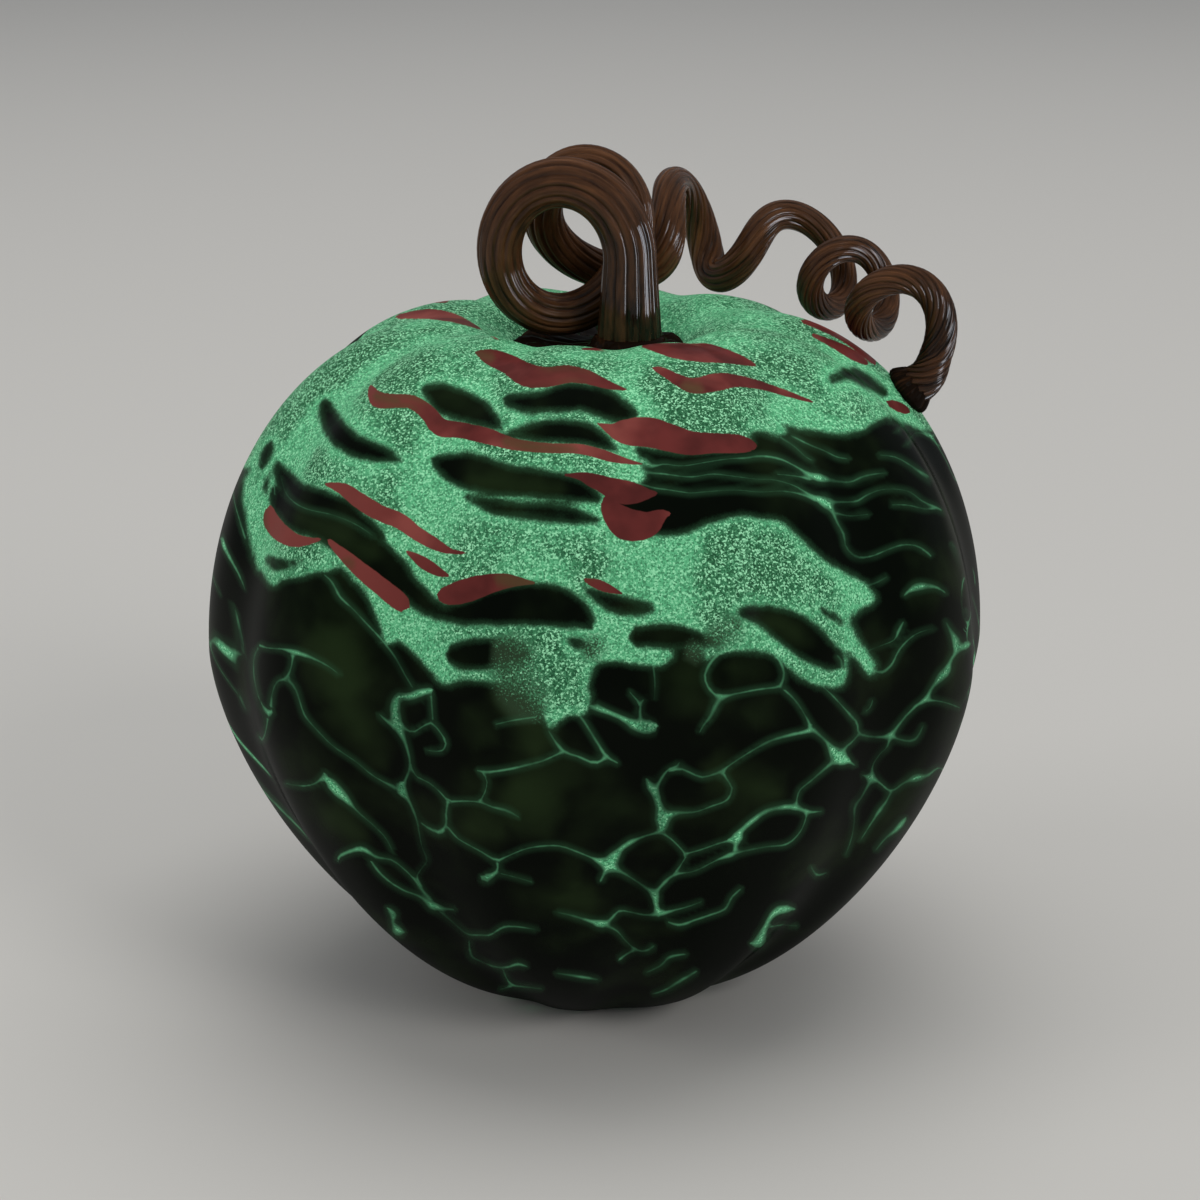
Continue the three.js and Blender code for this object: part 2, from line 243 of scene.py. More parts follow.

# %% [markdown]
# Chips of coloured glass are rolled onto the hot casing and stretch as it is blown. Each one is
# described by its middle line, read from the photograph: pixels to the right and down, and
# half its width in pixels. The red ones became long flames with sharp tips.

# %% Red flames
RED_FLAMES = [
    [(475, 352, 1), (490, 357, 8), (508, 364, 10), (527, 375, 12), (547, 377, 10), (567, 374, 9),
     (587, 377, 7), (603, 383, 5), (615, 387, 3), (627, 390, 1)],
    [(582, 349, 1), (600, 348, 3), (618, 348, 4), (632, 348, 1)],
    [(630, 343, 1), (653, 346, 5), (673, 350, 8), (700, 352, 10), (720, 355, 8), (740, 360, 5),
     (757, 366, 1)],
    [(652, 368, 1), (662, 371, 4), (680, 381, 6), (695, 386, 8), (717, 382, 9), (738, 381, 6),
     (763, 386, 4), (788, 394, 3), (813, 402, 1)],
    [(371, 386, 2), (377, 399, 8), (393, 401, 7), (412, 402, 7), (428, 413, 8), (440, 427, 9),
     (460, 430, 8), (487, 436, 8), (513, 444, 6), (547, 448, 5), (580, 449, 5), (607, 456, 5),
     (625, 461, 3), (642, 464, 1)],
    [(598, 423, 1), (612, 430, 6), (628, 432, 13), (648, 432, 15), (667, 437, 14), (690, 443, 12),
     (715, 443, 10), (740, 444, 9), (755, 446, 4)],
    [(565, 475, 1), (580, 476, 4), (592, 480, 7), (605, 485, 9), (618, 491, 12), (632, 493, 11),
     (645, 494, 6), (658, 493, 1)],
    [(606, 499, 5), (610, 508, 9), (617, 517, 13), (626, 524, 16), (638, 526, 15), (649, 524, 12),
     (657, 518, 8), (664, 514, 4), (671, 514, 1)],
    [(325, 484, 1), (343, 489, 6), (360, 501, 8), (378, 512, 8), (400, 521, 8), (416, 533, 7),
     (435, 544, 6), (450, 551, 3), (466, 553, 1)],
    [(406, 551, 1), (418, 559, 5), (430, 567, 6), (441, 573, 4), (449, 576, 1)],
    [(270, 507, 3), (271, 520, 8), (280, 532, 9), (294, 540, 7), (308, 541, 4), (321, 539, 1)],
    [(328, 540, 2), (345, 556, 6), (363, 572, 8), (383, 588, 9), (400, 602, 9), (406, 606, 6)],
    [(440, 595, 5), (450, 595, 10), (468, 590, 12), (488, 584, 10), (508, 581, 7), (525, 582, 3),
     (535, 583, 1)],
    [(583, 579, 1), (597, 584, 5), (610, 589, 4), (622, 594, 1)],
    [(802, 321, 2), (827, 328, 5), (850, 338, 7), (866, 352, 6), (875, 364, 2)],
    [(813, 335, 2), (835, 345, 4), (853, 355, 5), (868, 364, 2)],
    [(888, 402, 3), (899, 407, 5), (909, 412, 3)],
    [(396, 317, 2), (427, 314, 5), (453, 318, 5), (477, 327, 5), (499, 340, 1)],
    [(410, 303, 2), (430, 300, 3), (448, 301, 2)],
]
print("Red flames on the front:", len(RED_FLAMES))

# %% [markdown]
# Chips of nearly black glass made streaks on the left shoulder and cells below them. Those that lie
# loose in the glow are described in the same way as the flames.

# %% Dark streaks
DARK_STREAKS = [
    [(423, 389, 4), (437, 395, 13), (450, 401, 18), (467, 407, 17), (483, 415, 13), (500, 428, 4)],
    [(506, 400, 7), (527, 402, 12), (545, 402, 13), (562, 399, 16), (583, 398, 16), (603, 403, 17),
     (620, 411, 14), (636, 414, 5)],
    [(502, 436, 4), (525, 433, 9), (547, 431, 13), (565, 431, 14), (583, 433, 14), (600, 440, 11),
     (618, 452, 3)],
    [(325, 402, 6), (329, 416, 11), (338, 432, 13), (352, 444, 13), (372, 452, 12), (388, 456, 9),
     (403, 461, 3)],
    [(434, 460, 7), (450, 466, 15), (470, 471, 20), (493, 478, 19), (520, 482, 17), (550, 485, 16),
     (577, 490, 14), (600, 500, 6)],
    [(466, 497, 4), (490, 505, 9), (517, 510, 11), (543, 512, 11), (570, 515, 10), (600, 521, 4)],
    [(277, 462, 3), (283, 477, 11), (295, 494, 15), (317, 503, 16), (343, 512, 15), (362, 524, 12),
     (380, 539, 8)],
    [(275, 489, 8), (282, 505, 13), (299, 518, 16), (323, 527, 17), (345, 537, 19), (367, 553, 21),
     (388, 571, 21), (402, 586, 17)],
    [(271, 441, 3), (266, 454, 7), (261, 468, 4)],
    [(269, 475, 3), (266, 487, 5), (267, 496, 3)],
    [(267, 557, 4), (277, 564, 8), (290, 564, 6), (303, 560, 2)],
    [(440, 612, 10), (465, 612, 15), (500, 606, 21), (533, 603, 23), (560, 607, 21), (580, 616, 14),
     (591, 627, 6)],
    [(406, 584, 13), (416, 595, 14), (428, 605, 12), (442, 612, 11)],
    [(585, 588, 3), (600, 597, 9), (617, 604, 12), (635, 608, 11), (650, 608, 7), (657, 607, 3)],
    [(830, 380, 6), (848, 374, 8), (866, 380, 8), (886, 394, 5)],
    [(450, 655, 9), (467, 655, 16), (487, 654, 18), (507, 654, 14), (525, 655, 7)],
    [(635, 637, 13), (670, 636, 14), (700, 640, 10), (722, 643, 3)],
    [(567, 640, 4), (580, 644, 7), (593, 651, 3)],
    [(738, 612, 5), (765, 617, 13), (795, 632, 20), (822, 652, 18), (840, 664, 8)],
    [(819, 608, 3), (832, 616, 5), (843, 624, 3)],
]
print("Loose dark chips on the front:", len(DARK_STREAKS))

# %% [markdown]
# On the right and all over the lower half the dark chips ran together into one ground. Its edge is
# one outline, read from the photograph in order, which goes round outside the body at the end.

# %% Edge of the dark ground
DARK_GROUND = [
    (190, 466), (249, 466), (246, 480), (245, 500), (248, 520), (251, 537), (257, 562), (264, 574),
    (273, 584), (279, 580), (293, 576), (310, 572), (325, 570), (335, 566), (343, 565), (354, 578),
    (367, 594), (376, 610), (383, 626), (386, 635), (384, 640), (391, 640), (399, 638), (410, 645),
    (424, 660), (436, 673), (443, 682), (460, 680), (485, 680), (508, 683), (528, 693), (543, 712),
    (551, 728), (557, 722), (566, 715), (577, 714), (585, 712), (589, 700), (588, 685), (591, 670),
    (597, 661), (612, 658), (632, 661), (652, 664), (664, 663), (671, 655), (672, 645), (686, 642),
    (703, 648), (707, 658), (713, 655), (725, 650), (745, 648), (765, 650), (778, 656), (790, 668),
    (805, 678), (820, 684), (836, 686), (845, 680), (847, 664), (848, 652), (858, 661), (867, 672),
    (872, 673), (873, 664), (866, 652), (857, 640), (850, 626), (850, 617), (862, 607), (874, 599),
    (866, 587), (850, 576), (832, 567), (812, 552), (800, 540), (780, 523), (760, 520), (745, 517),
    (725, 521), (705, 527), (690, 534), (668, 538), (640, 536), (622, 526), (612, 510), (611, 498),
    (621, 489), (635, 483), (645, 476), (640, 466), (636, 455), (632, 448), (642, 445), (683, 450),
    (720, 448), (748, 446), (748, 434), (762, 429), (778, 434), (786, 432), (782, 424), (795, 425),
    (820, 430), (840, 432), (860, 429), (877, 419), (890, 415), (902, 421), (930, 430), (1010, 440),
    (1010, 1060), (190, 1060),
]
print("Points on the edge of the ground:", len(DARK_GROUND))

# %% [markdown]
# Between the chips that make up the ground, glow shines through in threads. They swell to bright
# stars where three chips meet and fade out between two. Each thread is a middle line with half
# widths again. They fall into the long ones that flow over the shoulders, and the net below.

# %% Threads over the shoulders
SHOULDER_THREADS = [
    [(640, 460, 7), (652, 466, 3.4), (665, 464, 1.5), (682, 466, 1), (707, 462, 1), (727, 459, 1.3),
     (745, 458, 2), (762, 456, 2.4), (780, 459, 2.2), (795, 466, 1.5), (810, 475, 4), (821, 478, 5),
     (835, 481, 3), (850, 482, 2), (862, 477, 2), (875, 474, 1.5), (886, 473, 0.7)],
    [(638, 471, 5), (652, 473, 2.4), (665, 474, 1.5), (690, 477, 1.1), (712, 474, 1), (732, 476, 0.9),
     (755, 479, 0.9), (775, 480, 1), (795, 486, 1.2), (810, 495, 2), (825, 502, 6), (832, 510, 4),
     (837, 522, 2), (844, 535, 2.5), (846, 547, 1.6), (857, 557, 2.6), (872, 556, 1.6), (887, 550, 1.5),
     (902, 545, 1.5), (917, 546, 1.6), (929, 554, 2.2), (931, 557, 0.8)],
    [(622, 480, 2.5), (640, 484, 2.4), (655, 488, 1.8), (670, 490, 1.3), (690, 493, 1), (702, 492, 0.8),
     (735, 490, 0.7), (760, 492, 0.9), (782, 491, 1.2), (800, 494, 1.5), (817, 500, 3)],
    [(775, 474, 0.7), (795, 476, 1.2), (810, 479, 2.5)],
    [(780, 437, 2), (795, 447, 1.3), (807, 458, 1), (815, 461, 0.6)],
    [(790, 435, 2.2), (810, 445, 1.6), (825, 451, 1.5), (837, 457, 1.4), (850, 459, 0.7)],
    [(878, 455, 0.7), (895, 457, 1.2), (910, 465, 1.6), (920, 472, 3), (930, 477, 4.5), (939, 485, 2.5),
     (947, 494, 0.8)],
    [(828, 502, 3), (845, 502, 1.8), (857, 501, 2), (867, 495, 2), (880, 490, 1.2), (895, 489, 1),
     (910, 492, 1.2), (922, 501, 1.5), (935, 507, 2), (950, 514, 3), (961, 522, 4.5), (966, 530, 2)],
    [(890, 505, 0.8), (907, 505, 1.2), (925, 509, 1.4), (935, 508, 1)],
    [(836, 513, 2), (850, 516, 1), (870, 514, 0.6)],
    [(951, 543, 1), (957, 549, 3.5), (960, 557, 2), (967, 571, 1.5), (973, 578, 1)],
    [(958, 549, 2), (964, 543, 1.5)],
    [(967, 526, 1), (971, 540, 2.5), (976, 560, 2.5), (979, 576, 1)],
    [(916, 436, 1), (919, 444, 2), (924, 452, 1)],
    [(866, 586, 2), (878, 582, 1.8), (888, 576, 0.8)],
    [(903, 597, 1), (909, 591, 3), (917, 587, 5), (928, 586, 4.2), (938, 588, 2.4), (947, 594, 1)],
    [(281, 476, 0.8), (287, 495, 1.2), (304, 508, 1.2), (333, 515, 1), (357, 525, 1), (376, 538, 0.7)],
]
print("Threads over the shoulders:", len(SHOULDER_THREADS))

# %% [markdown]
# Below the shoulders the threads join into a net. Its right part turns away from the camera, so
# its cells look narrow.

# %% Net of threads on the right
RIGHT_THREADS = [
    [(869, 667, 3), (875, 671, 2.2), (883, 672, 3), (892, 664, 2), (898, 652, 2), (906, 642, 1.6),
     (918, 633, 1.1), (935, 628, 0.6)],
    [(865, 652, 1.5), (880, 646, 1.1), (894, 640, 1.1), (899, 630, 3), (904, 621, 1)],
    [(945, 620, 1), (950, 630, 3), (956, 641, 5), (956, 651, 4), (951, 660, 3), (947, 670, 5),
     (940, 678, 5), (932, 688, 3), (926, 699, 4), (916, 706, 2.6), (906, 716, 2.2), (898, 726, 2.5),
     (890, 735, 4), (878, 737, 2.6), (860, 734, 2.4), (857, 723, 2), (852, 717, 3), (844, 708, 1.5),
     (830, 693, 1.5), (815, 680, 1.2)],
    [(957, 647, 5), (963, 647, 4.5), (972, 644, 4), (979, 652, 1.5)],
    [(973, 645, 3), (972, 629, 2), (971, 616, 3), (966, 609, 1)],
    [(971, 616, 2), (978, 613, 1)],
    [(926, 700, 2.5), (938, 701, 1.5), (950, 704, 1.5), (960, 708, 1)],
    [(891, 735, 2.5), (898, 739, 2), (911, 741, 2.6), (918, 736, 2), (924, 724, 0.8)],
    [(890, 737, 2), (887, 747, 1.5), (880, 754, 1), (873, 765, 1.2), (872, 776, 3)],
    [(811, 728, 4), (825, 740, 2.6), (832, 749, 5), (839, 757, 8), (848, 761, 4), (856, 766, 1.2)],
    [(839, 756, 4), (846, 747, 2.4), (852, 742, 1.4), (858, 735, 1.6)],
    [(838, 758, 4), (827, 767, 2.6), (812, 780, 1.5), (800, 790, 1.5), (797, 799, 1.5), (796, 807, 3)],
    [(862, 775, 1), (871, 778, 5), (880, 783, 2.2), (891, 791, 2), (904, 783, 2), (916, 778, 5),
     (928, 775, 3), (938, 768, 1.6), (945, 771, 1)],
    [(871, 780, 3), (866, 789, 2.5), (861, 798, 2), (855, 807, 3), (854, 824, 1.5), (851, 840, 1.3),
     (845, 856, 0.6)],
    [(891, 792, 1.5), (886, 802, 2), (880, 810, 3.5), (872, 822, 1.6), (860, 841, 0.8)],
    [(906, 817, 2), (903, 822, 4), (896, 830, 4), (886, 838, 2.2), (875, 851, 1.2)],
    [(873, 699, 1.6), (870, 708, 0.9), (864, 712, 0.7)],
    [(735, 649, 3), (722, 652, 3), (711, 662, 3), (705, 675, 2.6), (707, 685, 2.2), (713, 693, 2.4),
     (721, 697, 4), (735, 694, 2.2), (755, 690, 2), (770, 688, 2), (780, 686, 2.6), (784, 674, 2.4),
     (781, 663, 3), (776, 656, 3)],
    [(721, 697, 3), (715, 707, 4), (710, 717, 3), (703, 726, 1.6), (699, 734, 0.6)],
    [(782, 688, 2), (795, 700, 2), (805, 715, 1.6), (811, 727, 3.5)],
    [(836, 654, 1), (842, 662, 2.6), (841, 674, 3)],
    [(811, 730, 4), (800, 733, 3), (790, 735, 3), (770, 741, 2.5), (750, 752, 1.6), (730, 765, 1.6),
     (723, 772, 3), (728, 781, 2), (732, 788, 2), (727, 800, 2), (712, 806, 1.6), (695, 812, 1.6),
     (676, 813, 4), (664, 817, 6)],
    [(811, 866, 0.7), (817, 875, 2.6), (828, 872, 0.8)],
    [(795, 909, 2.5), (786, 909, 5), (777, 911, 5), (770, 918, 4), (765, 928, 4), (759, 942, 6),
     (750, 943, 2)],
    [(770, 927, 1.5), (783, 925, 1.5), (798, 926, 1.2)],
]
print("Threads on the right:", len(RIGHT_THREADS))

# %% [markdown]
# In the middle the net faces the camera, and its cells are about as wide as they are high.

# %% Net of threads in the middle
MIDDLE_THREADS = [
    [(618, 648, 7), (632, 652, 6), (650, 656, 6), (660, 657, 5), (668, 656, 2)],
    [(652, 660, 3), (654, 672, 1.8), (655, 686, 1.2), (654, 700, 0.6)],
    [(592, 706, 5), (608, 712, 4), (622, 718, 4), (635, 725, 6), (648, 727, 8), (656, 727, 4)],
    [(641, 724, 3), (640, 712, 2.4), (640, 704, 2.2), (634, 697, 1.4), (628, 690, 0.7)],
    [(640, 704, 1.6), (645, 698, 0.8)],
    [(575, 710, 3), (583, 720, 2.6), (590, 731, 2.5), (600, 747, 2.6), (607, 757, 3), (620, 764, 0.8)],
    [(606, 757, 2.5), (595, 763, 3), (577, 756, 2), (563, 751, 3), (551, 735, 1.6), (547, 727, 1)],
    [(562, 752, 2), (545, 760, 2), (535, 763, 2.4), (510, 769, 2.4), (487, 772, 2.4), (476, 770, 1.2)],
    [(646, 778, 2), (650, 786, 5), (655, 793, 5), (659, 806, 5), (662, 820, 8), (660, 831, 4),
     (645, 836, 2), (631, 842, 4), (621, 849, 4), (611, 862, 7), (605, 872, 3), (600, 882, 2.5)],
    [(655, 791, 3), (661, 779, 3), (668, 770, 2), (677, 766, 1.6), (680, 761, 0.8)],
    [(670, 771, 2), (682, 769, 2), (700, 777, 2.2), (712, 775, 2), (722, 771, 3)],
    [(661, 833, 3), (670, 838, 1.6), (685, 854, 1.6), (682, 863, 1.3), (675, 873, 2)],
    [(447, 826, 2), (456, 837, 1.6), (465, 843, 1.4), (480, 851, 1.4), (496, 860, 2.4), (508, 856, 1.4),
     (525, 849, 1.4), (543, 846, 1.6), (560, 846, 1.6), (575, 851, 2), (590, 857, 2), (608, 865, 6),
     (625, 874, 2.4), (642, 885, 2.2), (654, 894, 5), (656, 905, 4), (660, 913, 4.5), (675, 910, 2),
     (690, 906, 1.5), (703, 901, 0.7)],
    [(655, 893, 3), (667, 880, 3), (677, 874, 2), (695, 871, 1.5), (715, 861, 1.6), (730, 855, 4),
     (740, 852, 2.4), (765, 847, 1.5), (787, 844, 2), (800, 832, 1.2), (806, 818, 1.5), (806, 811, 2.6)],
    [(685, 854, 1.6), (700, 850, 1.5), (717, 844, 1.6), (731, 840, 3), (737, 838, 6), (741, 831, 4),
     (752, 821, 4), (767, 811, 3.6), (785, 807, 4), (797, 808, 4), (810, 812, 2.6), (823, 811, 0.8)],
    [(736, 842, 3), (735, 850, 4)],
    [(742, 888, 1.5), (732, 897, 2), (725, 909, 2), (710, 915, 2), (695, 920, 2), (680, 925, 3),
     (668, 922, 1.5)],
    [(658, 914, 3), (645, 915, 2), (630, 912, 1.5), (619, 911, 2), (610, 920, 3), (602, 924, 5),
     (587, 920, 3), (570, 915, 2), (555, 912, 1)],
    [(606, 925, 2.5), (617, 931, 2), (625, 940, 1.1), (635, 949, 2), (645, 951, 2), (654, 946, 2.5)],
    [(635, 950, 2), (627, 954, 2), (619, 960, 2.5)],
    [(687, 954, 1.5), (670, 957, 2.6), (660, 966, 2), (645, 973, 0.7)],
    [(697, 971, 2), (680, 981, 3), (665, 990, 2), (652, 994, 0.8)],
    [(555, 973, 1), (582, 977, 3), (600, 980, 1)],
]
print("Threads in the middle:", len(MIDDLE_THREADS))

# %% [markdown]
# On the left the threads are longer, and run down along the lobes.

# %% Net of threads on the left
LEFT_THREADS = [
    [(322, 573, 1.2), (332, 582, 2), (340, 597, 2.6), (352, 608, 1.5), (366, 623, 1.5), (382, 640, 2),
     (395, 657, 2), (405, 675, 1.6), (413, 688, 2)],
    [(432, 690, 4), (420, 693, 5), (408, 697, 5), (398, 697, 5), (395, 710, 6), (398, 726, 5.5),
     (406, 745, 3), (410, 765, 2), (405, 781, 3), (401, 789, 6), (409, 801, 3), (416, 818, 2.4),
     (419, 832, 1.4), (422, 847, 1.1), (427, 860, 1.6), (422, 868, 1), (417, 877, 1), (422, 888, 1.6)],
    [(378, 713, 1), (388, 722, 3), (397, 727, 4)],
    [(398, 722, 3), (404, 728, 1.8), (413, 732, 1.8), (422, 727, 1.6), (431, 723, 2), (440, 732, 1.6),
     (446, 743, 1.8), (441, 751, 1.4), (426, 750, 0.8)],
    [(431, 694, 2), (432, 708, 1.6), (433, 722, 1.4)],
    [(493, 725, 1), (515, 720, 1.8), (537, 717, 1.8)],
    [(410, 766, 1.6), (417, 777, 1.2), (428, 782, 1.2), (440, 792, 1.2), (449, 801, 2.4), (462, 801, 1.6),
     (480, 802, 1.8), (492, 807, 2), (508, 811, 3), (520, 818, 1)],
    [(480, 801, 1.6), (485, 792, 1.3), (487, 780, 1.3), (482, 772, 1.6)],
    [(448, 802, 2), (446, 813, 2.2), (446, 824, 2.2), (440, 832, 4), (430, 829, 2), (420, 822, 1.4)],
    [(497, 861, 2), (497, 871, 2.4), (486, 878, 5), (480, 876, 1.5)],
    [(498, 873, 1), (515, 877, 0.8), (532, 882, 1)],
    [(284, 783, 0.8), (301, 786, 1.6), (314, 784, 2), (325, 778, 4), (335, 788, 6), (347, 800, 4.5),
     (358, 812, 1.8), (372, 824, 1.2), (385, 837, 1), (393, 852, 0.7)],
    [(326, 778, 3), (323, 770, 1.2)],
    [(338, 862, 1), (340, 856, 3), (351, 851, 3.6), (363, 849, 4), (376, 857, 2.6), (392, 860, 1.6),
     (405, 870, 1.6), (415, 880, 1.6), (422, 890, 2.6), (431, 900, 3)],
    [(370, 860, 2), (379, 872, 2.4), (390, 882, 2), (405, 891, 1.8), (419, 896, 2), (432, 905, 5),
     (440, 908, 4), (456, 910, 1)],
    [(441, 912, 2.5), (455, 924, 1.6), (467, 934, 1.6), (480, 935, 2), (490, 935, 1.8), (504, 927, 2.4),
     (520, 927, 1.6), (538, 930, 0.7)],
    [(386, 907, 2), (393, 914, 4.5), (393, 923, 3), (398, 931, 5.5), (405, 932, 2)],
    [(469, 940, 1), (471, 955, 2.6), (480, 961, 1.1), (496, 967, 1.8), (508, 967, 2), (518, 964, 3),
     (528, 967, 1)],
    [(503, 970, 1.2), (507, 979, 1.2), (512, 985, 2.2), (526, 987, 1.2), (543, 989, 0.7)],
    [(511, 986, 1.6), (499, 990, 1)],
    [(238, 690, 1), (242, 702, 3), (247, 712, 1)],
    [(259, 645, 3), (268, 648, 1.5), (282, 649, 2), (294, 652, 4), (310, 657, 3), (328, 666, 1.6),
     (341, 676, 0.7)],
    [(258, 648, 2), (254, 658, 1.6), (254, 676, 1.2), (259, 698, 1.3), (268, 713, 4), (272, 710, 3)],
    [(293, 655, 2.4), (291, 668, 1.6), (286, 678, 3), (277, 682, 2), (272, 694, 1.6), (271, 708, 3)],
    [(287, 679, 3), (295, 688, 2.4), (300, 702, 1.5), (305, 716, 1.8), (317, 730, 1.3), (333, 746, 1.2),
     (355, 761, 1), (372, 775, 1.2), (386, 783, 2), (396, 788, 4)],
    [(268, 717, 2), (266, 730, 1.3), (262, 740, 2), (258, 734, 0.8)],
]
print("Threads on the left:", len(LEFT_THREADS))

# %% [markdown]
# In a few places the ground is thin, and a green haze shows through it without any edge. In others
# the powder thins out into single grains before the ground begins, or a flame is worn to brown.

# %% Green hazes
GREEN_HAZES = [
    [(500, 700, 16), (528, 715, 22), (535, 745, 18)], [(520, 790, 24), (540, 825, 26)],
    [(325, 640, 26), (345, 690, 26)], [(340, 700, 12), (380, 760, 14)],
    [(712, 770, 15), (745, 782, 17), (778, 795, 13)], [(470, 715, 14), (490, 735, 14)],
    [(520, 895, 18), (590, 900, 14)], [(770, 695, 12), (760, 720, 10)], [(735, 668, 12), (765, 672, 10)],
    [(470, 480, 5), (560, 490, 6)], [(300, 516, 5), (372, 552, 7)], [(470, 830, 16), (500, 836, 14)],
    [(330, 815, 14), (360, 835, 12)], [(560, 880, 16), (575, 885, 14)], [(912, 597, 8), (934, 598, 8)],
    [(755, 617, 7), (785, 628, 10), (808, 642, 8)],
]
THIN_POWDER = [
    [(500, 645, 12), (515, 660, 22), (522, 690, 24), (535, 712, 16)], [(712, 640, 10), (735, 625, 12)],
    [(588, 655, 8), (600, 640, 8)], [(690, 655, 8), (700, 650, 8)],
]
WORN_FLAMES = [
    [(498, 578, 6), (520, 582, 9), (540, 586, 6)], [(684, 386, 5), (700, 390, 6)],
    [(476, 354, 4), (492, 358, 4)], [(505, 442, 5), (540, 448, 6), (575, 450, 4)],
    [(345, 560, 4), (352, 566, 4)], [(376, 396, 4), (398, 401, 5)],
]
print("Hazes:", len(GREEN_HAZES), "thin places:", len(THIN_POWDER), "worn places:", len(WORN_FLAMES))

# %% [markdown]
# A material can't hold a list of chips, but it can read numbers from the vertices. Each vertex of
# the skin is looked up in the photograph, so that the chips lie on the glass as the camera saw
# them. What turns away from the camera isn't in the photograph, and is looked up after half a turn
# of the body. The sides are seen too steeply to read, so their threads come from another part of
# the net. A penalty closes the chips where two of these views meet and where the rim turns in.

# %% Pixels of the skin
PIXELS_PER_MM = 5.1
MEETING_PENALTY = 300
MEETING_RUN = 0.1
MEETING_START = 0.06
DIMPLE_PENALTY = 0.6
SIDE_HALF = math.radians(24)
SIDE_TURN = math.radians(50)
SIDE_PENALTY = 90

skin_rows = np.flatnonzero(read_values(casing.data, "skin") > 0.5)
skin_places = places[skin_rows]
skin_outward = round_outward[skin_rows]
turned_away = -skin_outward @ np.array(toward_camera)


def to_pixels(points):
    """Pixels of the photograph at which the camera sees some points."""
    seen = (points - np.array(camera.location)) @ np.array(camera.rotation_euler.to_matrix())
    size = -FOCAL_PIXELS / seen[:, 2]
    return np.column_stack((PHOTO_PIXELS / 2 + seen[:, 0] * size, PHOTO_PIXELS / 2 - seen[:, 1] * size))


inside_rim = np.maximum(RIM_RADIUS - np.hypot(skin_places[:, 0], skin_places[:, 1]), 0)
rim_penalty = (skin_places[:, 2] > BELLY_HEIGHT) * DIMPLE_PENALTY * inside_rim / MM
halves = []
for facing in (1, -1):
    pixels = to_pixels(skin_places * (facing, facing, 1))
    too_far = np.maximum(facing * turned_away - MEETING_START, 0)
    halves.append((pixels, rim_penalty + MEETING_PENALTY * too_far))

from_side = np.abs(np.abs(angle[skin_rows]) - QUARTER)
net_views = []
for pixels, penalty in halves:
    net_views.append((pixels, penalty + SIDE_PENALTY * np.maximum(SIDE_HALF - from_side, 0)))
for turn in (SIDE_TURN, SIDE_TURN + math.pi):
    turning = np.array(Matrix.Rotation(turn, 3, "Z"))
    too_far = np.maximum(-skin_outward @ turning @ np.array(toward_camera) - MEETING_START, 0)
    penalty = SIDE_PENALTY * np.maximum(from_side - SIDE_HALF, 0) + MEETING_PENALTY * too_far
    net_views.append((to_pixels(skin_places @ turning), rim_penalty + penalty))
print("Skin seen between pixels", halves[0][0].min(0).round(), "and", halves[0][0].max(0).round())

# %% [markdown]
# A few points were read for each chip. A Catmull-Rom curve, which passes through every point, fills
# in smooth ones between them. Threads were read as wide as they glow, so all but the knots are made
# a little slimmer, and their glow comes back as a halo in the finish.

# %% Smooth middle lines
PATH_STEPS = 4
THREAD_SLIM = 0.68
KNOT_WIDTHS = (3, 6)


def curve_through(rows, position):
    """A row between the given rows, on a Catmull-Rom curve. Position counts rows from the first."""
    index = min(int(position), len(rows) - 2)
    share = position - index
    before = rows[abs(index - 1)]
    after = rows[index + 2] if index + 2 < len(rows) else rows[index]
    start, end = rows[index], rows[index + 1]
    bend = 2 * before - 5 * start + 4 * end - after
    twist = -before + 3 * start - 3 * end + after
    return start + share / 2 * (end - before + share * (bend + share * twist))


def smooth_path(picks, steps=PATH_STEPS):
    """The rows that were read from the photograph, with smooth rows between them."""
    rows = np.array(picks, float)
    stops = np.linspace(0, len(rows) - 1, steps * (len(rows) - 1) + 1)
    return np.array([curve_through(rows, stop) for stop in stops])


threads = [smooth_path(picks) for picks in SHOULDER_THREADS + RIGHT_THREADS + MIDDLE_THREADS + LEFT_THREADS]
for path in threads:
    path[:, 2] *= THREAD_SLIM + (1 - THREAD_SLIM) * smooth_share(path[:, 2], *KNOT_WIDTHS)
print("Threads:", len(threads))

# %% [markdown]
# For every vertex the distance to the middle line of each chip near it is worked out, with a sign
# for the side on which it lies, and half the chip's width there. A distance with a sign stays true
# between two vertices, so that even a thread thinner than the mesh comes out as a clean line. Past
# the end of a line the width falls off fast, so that the chip runs out in a point.

# %% Distances to the chips
REACH = 60
END_FALL = 1.5
END_RUN = 2 * PATH_STEPS


